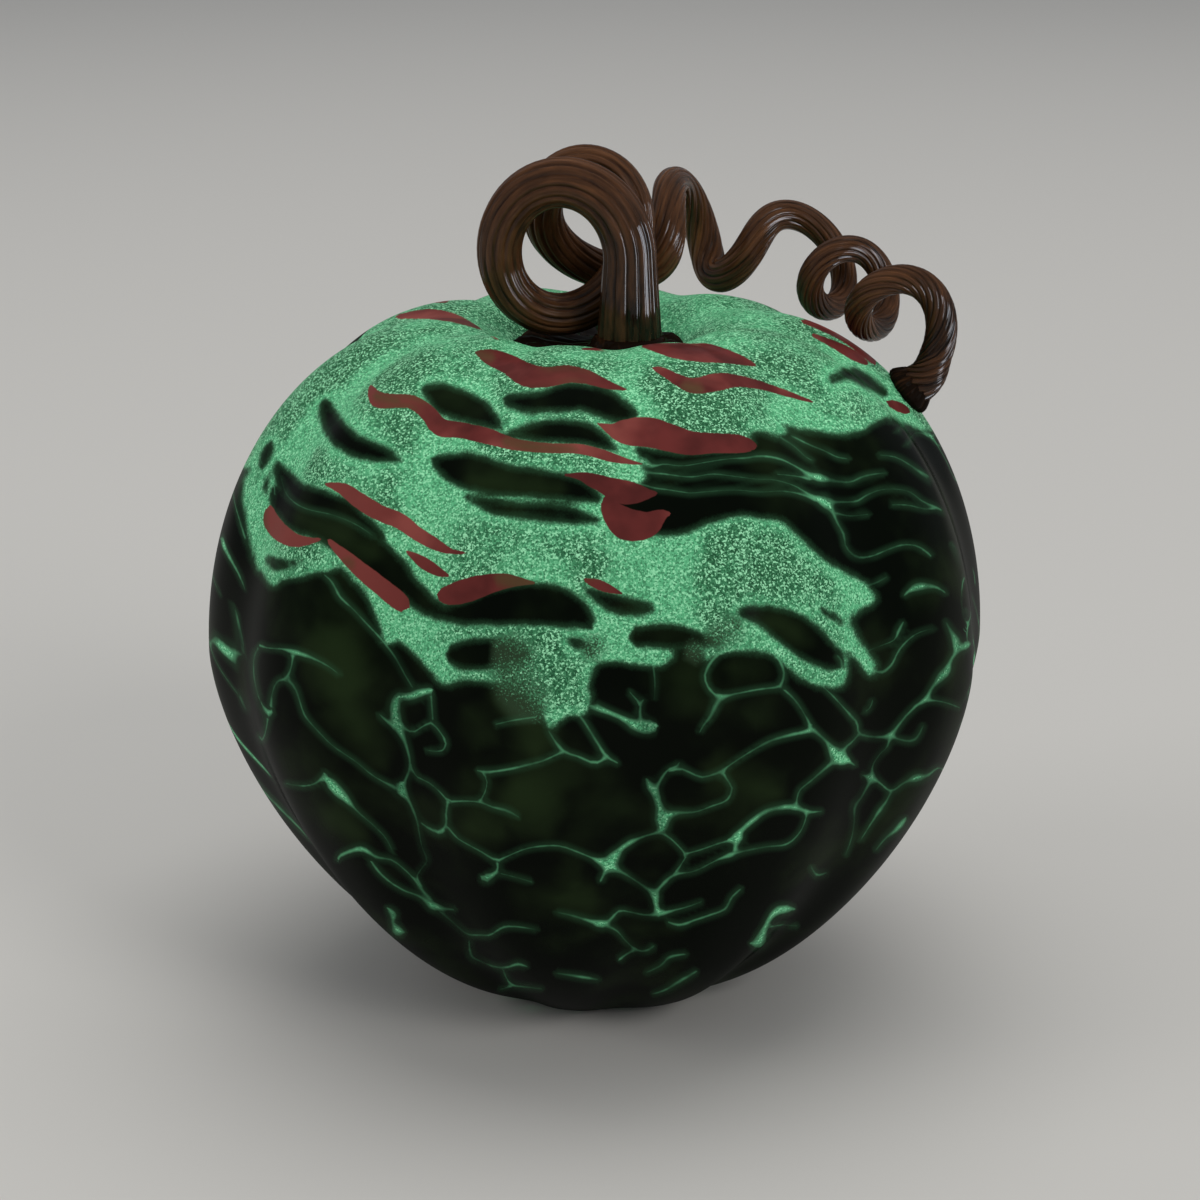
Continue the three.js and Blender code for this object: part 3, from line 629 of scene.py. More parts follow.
def chip_distance(path, pixels):
    """Vertices near a chip, with their signed distance to its middle line and half its width there."""
    reach = path[:, 2].max() + REACH
    low, high = path[:, :2].min(0) - reach, path[:, :2].max(0) + reach
    rows = np.flatnonzero(((pixels > low) & (pixels < high)).all(1))
    points = pixels[rows]
    best = np.full(len(rows), np.inf)
    offset, width = np.zeros(len(rows)), np.zeros(len(rows))
    last = len(path) - 2
    ways = np.diff(path[:, :2], axis=0)
    lengths = np.linalg.norm(ways, axis=1)
    before = np.maximum((path[0, :2] - points) @ ways[0] / lengths[0], 0)
    after = np.maximum((points - path[-1, :2]) @ ways[-1] / lengths[-1], 0)
    for index, (start, end, along) in enumerate(zip(path[:-1], path[1:], ways)):
        raw = (points - start[:2]) @ along / lengths[index] ** 2
        share = np.clip(raw, 0, 1)
        apart = points - start[:2] - share[:, None] * along
        is_end = ((raw < 0) & (index == 0)) | ((raw > 1) & (index == last))
        overshoot = before * (index < END_RUN) + after * (index > last - END_RUN)
        beside = np.sqrt(np.maximum((apart ** 2).sum(1) - is_end * overshoot ** 2, 0))
        half = start[2] + share * (end[2] - start[2]) - END_FALL * overshoot
        side = np.where(along[0] * apart[:, 1] < along[1] * apart[:, 0], -1, 1)
        better = beside - half < best
        best = np.where(better, beside - half, best)
        offset = np.where(better, side * beside, offset)
        width = np.where(better, half, width)
    return rows, offset, width


def outline_distance(outline, pixels):
    """Distance to a closed outline, negative inside it."""
    nearest = np.full(len(pixels), np.inf)
    inside = np.zeros(len(pixels), bool)
    for start, end in zip(outline, np.roll(outline, -1, axis=0)):
        along = end - start
        share = np.clip((pixels - start) @ along / (along @ along), 0, 1)
        apart = pixels - start - share[:, None] * along
        nearest = np.minimum(nearest, (apart ** 2).sum(1))
        spans = (start[1] > pixels[:, 1]) != (end[1] > pixels[:, 1])
        crossing = start[0] + (pixels[:, 1] - start[1]) * along[0] / (along[1] or 1)
        inside ^= spans & (pixels[:, 0] < crossing)
    return np.where(inside, -1, 1) * np.sqrt(nearest)


print("Vertices near the first thread:", len(chip_distance(threads[0], halves[0][0])[0]))

# %% [markdown]
# Now the numbers are worked out and written. Dark glass, hazes and worn places need only the
# distance to the nearest edge. Flames and threads keep the signed distance and the width apart. Two
# chips that come near each other can't share one number, so they go into different layers.

# %% Numbers for the finish
FLAME_LAYERS = 3
THREAD_LAYERS = 7
GROUND_STEPS = 3
APART = 27
FAR = 200
TRUSTED = 9
FALL_OFF = 3


def sort_into_layers(paths, count):
    """Gives each chip a layer in which no other chip lies near."""
    layers = []
    for index, path in enumerate(paths):
        room = np.full(count, np.inf)
        for other, layer in zip(paths[:index], layers):
            steps = np.linalg.norm(path[:, None, :2] - other[None, :, :2], axis=2)
            gap = (steps - path[:, None, 2] - other[None, :, 2]).min()
            room[layer] = min(room[layer], gap)
        free = np.flatnonzero(room > APART)
        layers.append(int(free[0]) if len(free) else int(np.argmax(room)))
    return layers


def keep_on_skin(name, values, elsewhere=FAR):
    """Writes numbers for the skin's vertices in millimetres, and one number for the inner wall."""
    everywhere = np.full(len(places), float(elsewhere))
    everywhere[skin_rows] = values
    write_values(casing.data, name, everywhere / PIXELS_PER_MM)


def nearest_edge(paths, views=halves):
    """Distance to the edge of the nearest chip, negative inside it."""
    nearest = np.full(len(skin_rows), float(FAR))
    for pixels, penalty in views:
        for path in paths:
            rows, offset, width = chip_distance(path, pixels)
            nearest[rows] = np.minimum(nearest[rows], np.abs(offset) - width + penalty[rows])
    return nearest


def keep_layers(name, paths, count, views):
    """Writes signed distances and half widths of chips, in layers in which they don't meet."""
    offsets = np.full((count, len(skin_rows)), float(FAR))
    widths = np.full((count, len(skin_rows)), float(-FAR))
    layers = sort_into_layers(paths, count)
    for pixels, penalty in views:
        for path, layer in zip(paths, layers):
            rows, offset, width = chip_distance(path, pixels)
            width -= FALL_OFF * np.maximum(np.abs(offset) - width - TRUSTED, 0) + penalty[rows]
            better = np.abs(offset) - width < np.abs(offsets[layer, rows]) - widths[layer, rows]
            offsets[layer, rows] = np.where(better, offset, offsets[layer, rows])
            widths[layer, rows] = np.where(better, width, widths[layer, rows])
    for layer in range(count):
        keep_on_skin(f"{name}_offset_{layer}", offsets[layer])
        keep_on_skin(f"{name}_width_{layer}", widths[layer], -FAR)
    return np.bincount(layers)


ground_line = smooth_path(DARK_GROUND, GROUND_STEPS)
front, back = [outline_distance(ground_line, pixels) for pixels, penalty in halves]
unseen = smooth_share(turned_away, -MEETING_RUN, MEETING_RUN)
loose_dark = nearest_edge([smooth_path(picks) for picks in DARK_STREAKS])
dark_field = np.minimum(front + unseen * (back - front), loose_dark)
keep_on_skin("dark", dark_field)
keep_on_skin("thread_near", nearest_edge(threads, net_views))
for name, strokes in (("haze", GREEN_HAZES), ("thin_powder", THIN_POWDER), ("worn", WORN_FLAMES)):
    keep_on_skin(name, nearest_edge([smooth_path(picks) for picks in strokes]))
flames = [smooth_path(picks) for picks in RED_FLAMES]
print("Flames in each layer:", keep_layers("flame", flames, FLAME_LAYERS, halves))
print("Threads in each layer:", keep_layers("thread", threads, THREAD_LAYERS, net_views))
print("Share of the skin under dark glass:", round(float((dark_field < 0).mean()), 2))

# %% [markdown]
# Materials are built from nodes. These few helpers add a node, join its inputs and hand back its
# output, so that the finishes below read like small sums.

# %% Helpers for nodes


def shade(red, green, blue):
    """A colour as a screen shows it, turned into the linear colour that shaders use."""
    linear = []
    for value in (red, green, blue):
        share = value / 255
        linear.append(share / 12.92 if share <= 0.04045 else ((share + 0.055) / 1.055) ** 2.4)
    return (*linear, 1)


def add_node(tree, kind, inputs=None, **settings):
    """A new node with its settings and inputs. An input is a value, or an output to join to it."""
    made = tree.nodes.new(kind)
    for name, value in settings.items():
        setattr(made, name, value)
    for key, value in (inputs or {}).items():
        if isinstance(value, bpy.types.NodeSocket):
            tree.links.new(value, made.inputs[key])
        else:
            made.inputs[key].default_value = value
    return made


def calculate(tree, operation, *values):
    """A math node's result."""
    return add_node(tree, "ShaderNodeMath", dict(enumerate(values)), operation=operation).outputs[0]


def product(tree, first, second):
    """Two values, multiplied."""
    return calculate(tree, "MULTIPLY", first, second)


def total(tree, first, second):
    """Two values, added."""
    return calculate(tree, "ADD", first, second)


def rest_of(tree, share):
    """What a share leaves of 1."""
    return calculate(tree, "SUBTRACT", 1.0, share)


def ease(tree, value, low, high, start=0.0, end=1.0):
    """Maps a value that goes from low to high smoothly onto start to end."""
    inputs = {"Value": value, "From Min": low, "From Max": high, "To Min": start, "To Max": end}
    return add_node(tree, "ShaderNodeMapRange", inputs, interpolation_type="SMOOTHSTEP").outputs[0]


def mix_colours(tree, share, first, second):
    """The first colour where the share is 0, and the second where it is 1."""
    return add_node(tree, "ShaderNodeMix", {0: share, 6: first, 7: second}, data_type="RGBA").outputs[2]


def noise(tree, vector, scale, detail=2.0, roughness=0.5):
    """A noise node at a scale, in waves to a metre."""
    inputs = {"Vector": vector, "Scale": scale, "Detail": detail, "Roughness": roughness}
    return add_node(tree, "ShaderNodeTexNoise", inputs)


def waves(tree, vector, scale, detail=2.0, roughness=0.5):
    """A noise as one value."""
    return noise(tree, vector, scale, detail, roughness).outputs["Fac"]


def attribute(tree, name):
    """A number that the vertices keep."""
    return add_node(tree, "ShaderNodeAttribute", attribute_name=name).outputs["Fac"]


def new_group(name, inputs, outputs):
    """An empty shader group with named sockets, its start node and its end node."""
    group = bpy.data.node_groups.new(name, "ShaderNodeTree")
    for label, kind in inputs:
        group.interface.new_socket(label, in_out="INPUT", socket_type=kind)
    for label, kind in outputs:
        group.interface.new_socket(label, in_out="OUTPUT", socket_type=kind)
    return group, group.nodes.new("NodeGroupInput"), group.nodes.new("NodeGroupOutput")


def new_material(name):
    """A material with its tree, its Principled shader and its Object coordinates."""
    material = bpy.data.materials.new(name)
    material.use_nodes = True
    tree = material.node_tree
    place = add_node(tree, "ShaderNodeTexCoord").outputs["Object"]
    return material, tree, tree.nodes["Principled BSDF"], place


def set_inputs(node, values):
    """Sets plain values on a node's own sockets."""
    for key, value in values.items():
        node.inputs[key].default_value = value


def wear(piece, material):
    """Gives a piece one material and no other."""
    piece.data.materials.clear()
    piece.data.materials.append(material)


print("Middle grey in linear light:", round(shade(128, 128, 128)[0], 3))

# %% [markdown]
# The glow comes from a powder: dark green where it lies thin and mint where it lies thick, with
# darker gaps and pale grains all over. It is seen through the casing and on the layer itself, so it
# is a group that both finishes use. Thickness is a slow noise, and each finish may add to it. A
# range here and below is the two ends of a value and, after them, what the ends turn into.

# %% Glowing powder
POWDER_THICK = shade(88, 169, 120)
POWDER_THIN = shade(50, 105, 70)
POWDER_GAP = shade(26, 66, 42)
POWDER_GRAIN = shade(158, 226, 178)
GRAINS_PER_METRE = 3200
CLOUDS_PER_METRE = 60
GRAIN_WEIGHT = 0.4
DUST_WEIGHT = 0.6
THICK_RANGE = (0.43, 0.78)
GAP_RANGE = (0.3, 0.52, 1.0, 0.0)
GAP_BY_THICKNESS = (0.0, 1.0, 0.85, 0.58)
GRAIN_RANGE = (0.53, 0.71, 0.0, 0.95)
GRAIN_BY_THICKNESS = (0.0, 1.0, 0.9, 0.7)

powder, start, end = new_group(
    "glowing_powder",
    [("Place", "NodeSocketVector"), ("Thickness", "NodeSocketFloat")],
    [("Colour", "NodeSocketColor")],
)
spot = start.outputs["Place"]
grains = add_node(powder, "ShaderNodeTexVoronoi", {"Vector": spot, "Scale": GRAINS_PER_METRE})
grain_tone = add_node(powder, "ShaderNodeSeparateColor", {0: grains.outputs["Color"]}).outputs[0]
dust = waves(powder, spot, GRAINS_PER_METRE, 2.0, 0.6)
tone = total(powder, product(powder, grain_tone, GRAIN_WEIGHT), product(powder, dust, DUST_WEIGHT))
cloud = waves(powder, spot, CLOUDS_PER_METRE, 4.0, 0.6)
thick = ease(powder, total(powder, cloud, start.outputs["Thickness"]), *THICK_RANGE)
glow_colour = mix_colours(powder, thick, POWDER_THIN, POWDER_THICK)
gap_share = product(powder, ease(powder, tone, *GAP_RANGE), ease(powder, thick, *GAP_BY_THICKNESS))
glow_colour = mix_colours(powder, gap_share, glow_colour, POWDER_GAP)
grain_share = product(powder, ease(powder, tone, *GRAIN_RANGE), ease(powder, thick, *GRAIN_BY_THICKNESS))
glow_colour = mix_colours(powder, grain_share, glow_colour, POWDER_GRAIN)
powder.links.new(glow_colour, end.inputs["Colour"])
print("Group made:", powder.name)

# %% [markdown]
# The casing's finish starts from the edges. The material reads the distances from the vertices and
# joins the layers again, and noise pushes every edge about a little. All distances are in
# millimetres, and negative inside a chip.

# %% Edges in the finish of the casing
WAVES_PER_METRE = 150
RIPPLES_PER_METRE = 650
WAVE_PUSH = 1.3
RIPPLE_PUSH = 0.6
GRAIN_PUSH = 0.8
SPARSE_PUSH = 22
THREAD_PUSH = 0.25
THREAD_BLEND = 1.6
FLAME_BLEND = 0.2


def pushed(tree, place, value, scale, size, part):
    """A distance that one part of a noise pushes about by up to half a size, in millimetres."""
    parts = add_node(tree, "ShaderNodeSeparateColor", {0: noise(tree, place, scale).outputs["Color"]})
    push = product(tree, calculate(tree, "SUBTRACT", parts.outputs[part], 0.5), size)
    return total(tree, value, push)


def layered_edge(tree, name, count, blend):
    """Distance to the edge of the nearest chip in some layers. Chips that meet melt together."""
    nearest = None
    for layer in range(count):
        offset = calculate(tree, "ABSOLUTE", attribute(tree, f"{name}_offset_{layer}"))
        inside = calculate(tree, "SUBTRACT", offset, attribute(tree, f"{name}_width_{layer}"))
        nearest = inside if layer == 0 else calculate(tree, "SMOOTH_MIN", nearest, inside, blend)
    return nearest


flecked, tree, glass, place = new_material("flecked_glass")
edge = pushed(tree, place, attribute(tree, "dark"), WAVES_PER_METRE, WAVE_PUSH, 0)
edge = pushed(tree, place, edge, RIPPLES_PER_METRE, RIPPLE_PUSH, 0)
edge = pushed(tree, place, edge, GRAINS_PER_METRE, GRAIN_PUSH, 0)
sparse_edge = pushed(tree, place, edge, GRAINS_PER_METRE, SPARSE_PUSH, 2)
thread_edge = layered_edge(tree, "thread", THREAD_LAYERS, THREAD_BLEND)
thread_edge = pushed(tree, place, thread_edge, RIPPLES_PER_METRE, THREAD_PUSH, 1)
flame_edge = layered_edge(tree, "flame", FLAME_LAYERS, FLAME_BLEND)
flame_edge = pushed(tree, place, flame_edge, RIPPLES_PER_METRE, THREAD_PUSH, 2)
print("Nodes for the edges:", len(tree.nodes))

# %% [markdown]
# Dark glass covers the powder with a soft edge, or in single grains where the powder lies thin.
# Threads of glow cut through it. Their light flickers along them, stays full in the knots, and is
# dimmed by painted shade in the grooves, where the glass is also thicker, and on the far right,
# where the photograph shows them dimmer.

# %% Cover of dark glass
THIN_RANGE = (-1.5, 2.0, 1.0, 0.0)
SHARP_RANGE = (-0.8, 0.45, 1.0, 0.0)
SPARSE_RANGE = (-1.5, 6.0, 1.0, 0.0)
FLICKER_RANGE = (0.35, 0.62, 0.36, 1.0)
KNOT_RANGE = (-0.9, -0.45, 1.0, 0.0)
CORE_RANGE = (-0.5, 0.05, 1.0, 0.0)
# Painted shade in the grooves and on the far right:
GROOVE_SHADE_RANGE = (0.9, 1.0, 1.0, 0.45)
RIGHT_SIDE_SHADE_RANGE = (0.042, 0.066, 1.0, 0.7)

thin_share = ease(tree, attribute(tree, "thin_powder"), *THIN_RANGE)
sharp_cover = product(tree, ease(tree, edge, *SHARP_RANGE), rest_of(tree, thin_share))
sparse_cover = product(tree, ease(tree, sparse_edge, *SPARSE_RANGE), thin_share)
ground_cover = total(tree, sharp_cover, sparse_cover)
flicker = ease(tree, waves(tree, place, WAVES_PER_METRE), *FLICKER_RANGE)
flicker = calculate(tree, "MAXIMUM", flicker, ease(tree, thread_edge, *KNOT_RANGE))
across = add_node(tree, "ShaderNodeSeparateXYZ", {0: place}).outputs[0]
# Painted shade: thread light and halo are dimmed in the grooves and on the far right.
groove_and_side_shade = ease(tree, attribute(tree, "groove"), *GROOVE_SHADE_RANGE)
groove_and_side_shade = product(tree, groove_and_side_shade, ease(tree, across, *RIGHT_SIDE_SHADE_RANGE))
thread_light = product(tree, product(tree, ease(tree, thread_edge, *CORE_RANGE), flicker), groove_and_side_shade)
cover = product(tree, ground_cover, rest_of(tree, thread_light))
print("Nodes with the cover:", len(tree.nodes))

# %% [markdown]
# Under the cover lies the powder. It is thicker in the grooves, on the rim and beside dark edges,
# where it was pushed together. A thin thread is too fine for grains and has one pale colour. The
# dark glass itself goes from black to green, and carries a painted glow beside threads and edges.

# %% Glow and dark glass
BLACK_GLASS = shade(5, 9, 4)
GREEN_GLASS = shade(32, 46, 23)
THIN_HAZE = shade(52, 72, 50)
# Painted glow beside threads and edges:
HALO_GLOW = shade(50, 90, 60)
THREAD_PALE = shade(78, 138, 99)
MURK_PER_METRE = 55
GROOVE_BLOOM = (0.3, 1.0, 0.0, 0.36)
RIM_BLOOM_RANGE = (0.0, 1.0, 0.0, 0.14)
EDGE_BLOOM = (0.0, 3.5, 0.14, 0.0)
KNOT_BLOOM = 0.12
THIN_THREAD = (-0.7, -0.4, 0.0, 1.0)
HAZE_RANGE = (-4.0, 3.5, 1.0, 0.0)
HAZE_MURK = (0.2, 0.7)
HALO_RANGE = (-0.4, 1.3, 0.4, 0.0)
INNER_HALO = (-2.0, -0.2, 0.0, 0.45)
GREEN_MURK = (0.45, 0.8, 0.0, 0.6)
THIN_HAZE_SHARE = 0.8

bloom = ease(tree, attribute(tree, "groove"), *GROOVE_BLOOM)
bloom = total(tree, bloom, ease(tree, attribute(tree, "rim"), *RIM_BLOOM_RANGE))
bloom = total(tree, bloom, ease(tree, edge, *EDGE_BLOOM))
bloom = total(tree, bloom, product(tree, ground_cover, KNOT_BLOOM))
powder_node = add_node(tree, "ShaderNodeGroup", {"Place": place, "Thickness": bloom}, node_tree=powder)
is_thin = product(tree, ground_cover, ease(tree, thread_edge, *THIN_THREAD))
glow = mix_colours(tree, is_thin, powder_node.outputs["Colour"], THREAD_PALE)

murk = waves(tree, place, MURK_PER_METRE, 3.0)
haze = product(tree, ease(tree, attribute(tree, "haze"), *HAZE_RANGE), ease(tree, murk, *HAZE_MURK))
# Painted glow from the threads and edges lies on the dark glass beside them.
halo = product(tree, ease(tree, attribute(tree, "thread_near"), *HALO_RANGE), groove_and_side_shade)
halo = calculate(tree, "MAXIMUM", halo, ease(tree, edge, *INNER_HALO))
dark_colour = mix_colours(tree, ease(tree, murk, *GREEN_MURK), BLACK_GLASS, GREEN_GLASS)
dark_colour = mix_colours(tree, haze, dark_colour, GREEN_GLASS)
dark_colour = mix_colours(tree, product(tree, thin_share, THIN_HAZE_SHARE), dark_colour, THIN_HAZE)
dark_colour = mix_colours(tree, halo, dark_colour, HALO_GLOW)
surface = mix_colours(tree, cover, glow, dark_colour)
print("Nodes with glow and dark glass:", len(tree.nodes))

# %% [markdown]
# Flames lie over everything with crisp edges: red with deeper and paler parts, painted light that
# turns them paler towards the left side, and worn to brown here and there. Part of the glow is
# emission, as the powder shines by itself. A clear coat gives the polish of glass, and a slow bump
# makes its mirror images sway.

# %% Flames and shine
FLAME_PALE = shade(140, 72, 65)
FLAME_RED = shade(108, 48, 45)
FLAME_DEEP = shade(80, 36, 34)
FLAME_THIN = shade(88, 70, 46)
NO_LIGHT = (0, 0, 0, 1)
DEEP_PER_METRE = 110
PALE_PER_METRE = 70
WEAR_PER_METRE = 45
SWAY_PER_METRE = 55
SWAY_STRENGTH = 0.12
SWAY_HEIGHT = 1.2 * MM
FLAME_RANGE = (-0.12, 0.12, 1.0, 0.0)
DEEP_RANGE = (0.35, 0.7)
PALE_RANGE = (0.5, 0.75)
# Painted light on the left side of the flames:
PAINTED_LIGHT_LEFT = (-0.055, -0.02, 0.75, 0.0)
WEAR_AT_EDGE = (-1.6, -0.1, 0.25, 1.0)
WEAR_RANGE = (0.55, 0.75)
WORN_RANGE = (-1.6, 1.4, 0.85, 0.0)
GLOW_STRENGTH = 0.28

flame_cover = ease(tree, flame_edge, *FLAME_RANGE)
deep_share = ease(tree, waves(tree, place, DEEP_PER_METRE, 3.0), *DEEP_RANGE)
flame_tone = mix_colours(tree, deep_share, FLAME_RED, FLAME_DEEP)
pale_share = ease(tree, waves(tree, place, PALE_PER_METRE, 3.0), *PALE_RANGE)
flame_tone = mix_colours(tree, pale_share, flame_tone, FLAME_PALE)
# Painted light: the flames turn paler towards the left side.
flame_tone = mix_colours(tree, ease(tree, across, *PAINTED_LIGHT_LEFT), flame_tone, FLAME_PALE)
wear_share = ease(tree, waves(tree, place, WEAR_PER_METRE), *WEAR_RANGE)
wear_share = product(tree, wear_share, ease(tree, flame_edge, *WEAR_AT_EDGE))
wear_share = calculate(tree, "MAXIMUM", wear_share, ease(tree, attribute(tree, "worn"), *WORN_RANGE))
flame_tone = mix_colours(tree, wear_share, flame_tone, FLAME_THIN)
surface = mix_colours(tree, flame_cover, surface, flame_tone)
shining = product(tree, rest_of(tree, cover), rest_of(tree, flame_cover))
emission = mix_colours(tree, shining, NO_LIGHT, glow)
sway = waves(tree, place, SWAY_PER_METRE)
bump = add_node(
    tree, "ShaderNodeBump", {"Height": sway, "Strength": SWAY_STRENGTH, "Distance": SWAY_HEIGHT})

tree.links.new(surface, glass.inputs["Base Color"])
tree.links.new(emission, glass.inputs["Emission Color"])
tree.links.new(bump.outputs["Normal"], glass.inputs["Normal"])
set_inputs(glass, {
    "Emission Strength": GLOW_STRENGTH, "Roughness": 0.4, "Specular IOR Level": 0.0,
    "Coat Weight": 0.2, "Coat Roughness": 0.2, "Coat IOR": 1.3,
})
wear(casing, flecked)
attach(casing, "root")
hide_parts("ribbed_casing")
print("Nodes in the casing's finish:", len(tree.nodes))

# %% [markdown]
# Stem and vine are one hot cane, ridged by a small mould and wound round a rod while it is soft.
# Its middle line is a circle that is carried along a row of places while its phase runs on, one
# row for each half turn, as in the solids: the circle's middle to the right, to the back and above
# the rim, its rise and its reach, the heading that it winds along, and the radius of the cane.

# %% Middle line of the cane
CURL_ROWS = np.array([
    [-6.4, -7.5, 12.5, 14.2, 12.4, 90, 5.3],
    [-6.4, -3, 12.5, 14.2, 12, 90, 4.5],
    [-3.8, 5.5, 15.8, 12.5, 10.8, 90, 4.2],
    [-0.2, 9.5, 16.3, 10.4, 10.2, 80, 4.2],
    [10.6, 22.5, 13.5, 8.6, 9, 20, 3.6],
    [19, 28.5, 11.9, 9, 8.5, -10, 3.7],
    [30, 34, 8.9, 7.2, 6, 5, 3.5],
    [45, 28.5, 5.9, 7.4, 4.8, -45, 2.9],
    [47.2, 22.5, 3.5, 7.2, 7.3, -50, 2.9],
    [51.5, 17, 2, 7, 6.8, -50, 2.8],
    [56.2, 9.5, 0.8, 5.8, 7.6, -55, 2.9],
    [58, -1, -2, 8.6, 9, -60, 3.3],
    [58, 3, -8.5, 10, 9, -60, 4],
])
FIRST_PHASE = -0.25
LAST_PHASE = 5.34
STEPS_PER_CURL = 64
STEM_PLACE = (6, -6.5)
STEM_FOOT_RADIUS = 6.6
UPRIGHT_STEPS = 12
FOOT_SINK = 1.2
CANE_DROP = 0.25
DAB_SINK = 1.0
DAB_APPROACH = 5.2
DAB_TOP_RADIUS = 4.4
LANDING_LEAD = 5
LANDING_STEPS = 16

foot_low, foot_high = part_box("stem_foot")
dab_low, dab_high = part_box("vine_foot")
seat, seat_normal = casing.closest_point_on_mesh((dab_low + dab_high) / 2)[1:3]
seat_mm = np.array(seat / MM)
seat_outward = np.array(seat_normal)


def curl_point(phase):
    """Point of the curls at a phase, and the cane's radius there, in millimetres."""
    right, back, up, rise, reach, heading, radius = curve_through(CURL_ROWS, 2 * (phase - FIRST_PHASE))
    side = reach * math.sin(math.tau * phase)
    bearing = math.radians(heading)
    level = RIM_HEIGHT / MM - CANE_DROP + up + rise * math.cos(math.tau * phase)
    return [right - side * math.sin(bearing), back + side * math.cos(bearing), level, radius]


curl_count = round((LAST_PHASE - FIRST_PHASE) * STEPS_PER_CURL)
curls = np.array([curl_point(phase) for phase in np.linspace(FIRST_PHASE, LAST_PHASE, curl_count + 1)])
bottom = np.array([*STEM_PLACE, foot_high.z / MM - FOOT_SINK, STEM_FOOT_RADIUS])
upright = [bottom + (curls[0] - bottom) * step / UPRIGHT_STEPS for step in range(UPRIGHT_STEPS)]
landing_rows = np.array([
    curls[-1 - LANDING_LEAD],
    curls[-1],
    [*(seat_mm + DAB_APPROACH * seat_outward), (curls[-1][3] + DAB_TOP_RADIUS) / 2],
    [*(seat_mm + DAB_SINK * seat_outward), DAB_TOP_RADIUS],
])
landing = [curve_through(landing_rows, stop) for stop in np.linspace(1, 3, LANDING_STEPS + 1)[1:]]
cane_line = np.vstack((upright, curls, landing))
print("Points on the cane's line:", len(cane_line))

# %% [markdown]
# A curve along that line, with a fluted outline as its bevel, makes the tube. The radius and the
# tilt of its points give the taper and the twist. Each flute has sharp valleys beside it and a
# finer ridge in the middle, which the solid leaves out.

# %% Fluted cane
CANE_FLUTES = 13
POINTS_PER_FLUTE = 12
RIDGES_PER_FLUTE = 2
FLUTE_DEPTH = 0.09
FLUTE_POWER = 0.7
RIDGE_DEPTH = 0.025
CANE_INSET = 0.2
TWIST_PER_CURL = [0, 0, 0.5, 2, 6, 7, 3, 3, 4, 4.5, 6, 10, 12]


def notches(turn, count, power=1):
    """Sharp valleys, a number of them to a full turn: 1 in the valleys and 0 on the crests."""
    return 1 - np.abs(np.sin(count * turn / 2)) ** power


ring_count = CANE_FLUTES * POINTS_PER_FLUTE
bpy.ops.object.select_all(action="DESELECT")
bpy.ops.curve.primitive_bezier_circle_add(radius=1)
section = bpy.context.object
section.name = "cane_section"
section.data.splines.clear()
flute_line = section.data.splines.new("POLY")
flute_line.points.add(ring_count - 1)
flute_line.use_cyclic_u = True
for index, point in enumerate(flute_line.points):
    turn = math.tau * index / ring_count
    valley = notches(turn, CANE_FLUTES, FLUTE_POWER)
    ridge = notches(turn, RIDGES_PER_FLUTE * CANE_FLUTES)
    radius = 1 - FLUTE_DEPTH * valley - RIDGE_DEPTH * ridge
    point.co = (radius * math.cos(turn), radius * math.sin(turn), 0, 1)

bpy.ops.object.select_all(action="DESELECT")
bpy.ops.curve.primitive_nurbs_path_add()
cane = bpy.context.object
cane.name = "fluted_cane"
cane.data.splines.clear()
cane.data.dimensions = "3D"
cane.data.twist_mode = "MINIMUM"
cane.data.bevel_mode = "OBJECT"
cane.data.bevel_object = section
cane.data.use_fill_caps = True
line = cane.data.splines.new("POLY")
line.points.add(len(cane_line) - 1)
twists = np.array(TWIST_PER_CURL)[:, None]
tilt = 0
for index, (point, row) in enumerate(zip(line.points, cane_line)):
    phase_row = np.clip((index - UPRIGHT_STEPS) / STEPS_PER_CURL * 2, 0, len(twists) - 1)
    tilt += float(curve_through(twists, phase_row)[0]) / STEPS_PER_CURL
    point.co = (*(row[:3] * MM), 1)
    point.radius = (row[3] - CANE_INSET) * MM
    point.tilt = tilt
bpy.ops.object.convert(target="MESH")
bpy.data.objects.remove(section)
cane = bpy.context.object
bpy.ops.object.transform_apply(location=True, rotation=True, scale=True)
bpy.ops.object.shade_smooth()
print("Cane vertices:", len(cane.data.vertices), "for", len(cane_line), "rings of", ring_count)

# %% [markdown]
# The colour of the cane runs along it in fine streaks. To follow the curl, each vertex keeps where
# it is round the section, as a point on a circle, and how far along. A circle has no seam. A second
# number darkens the colour: painted shade in the valleys of the flutes, and the cane darker towards
# the foot and at the end.

# %% Places along and round the cane
# Painted shade in the valleys of the flutes; the cane also turns darker towards the foot and the end.
VALLEY_SHADE = 0.08
FOOT_SHADE = 0.15
FOOT_SHADE_RUN = (4, 40)
END_SHADE = 0.1
END_SHADE_RUN = (-32, -6)


def write_flow(mesh, turn, along):
    """Keeps where each vertex is round a piece and along it, for streaks that follow the glass."""
    flow = np.column_stack((np.cos(turn), np.sin(turn), along))
    layer = mesh.attributes.new("flow", "FLOAT_VECTOR", "POINT")
    layer.data.foreach_set("vector", flow.astype(np.float32).ravel())


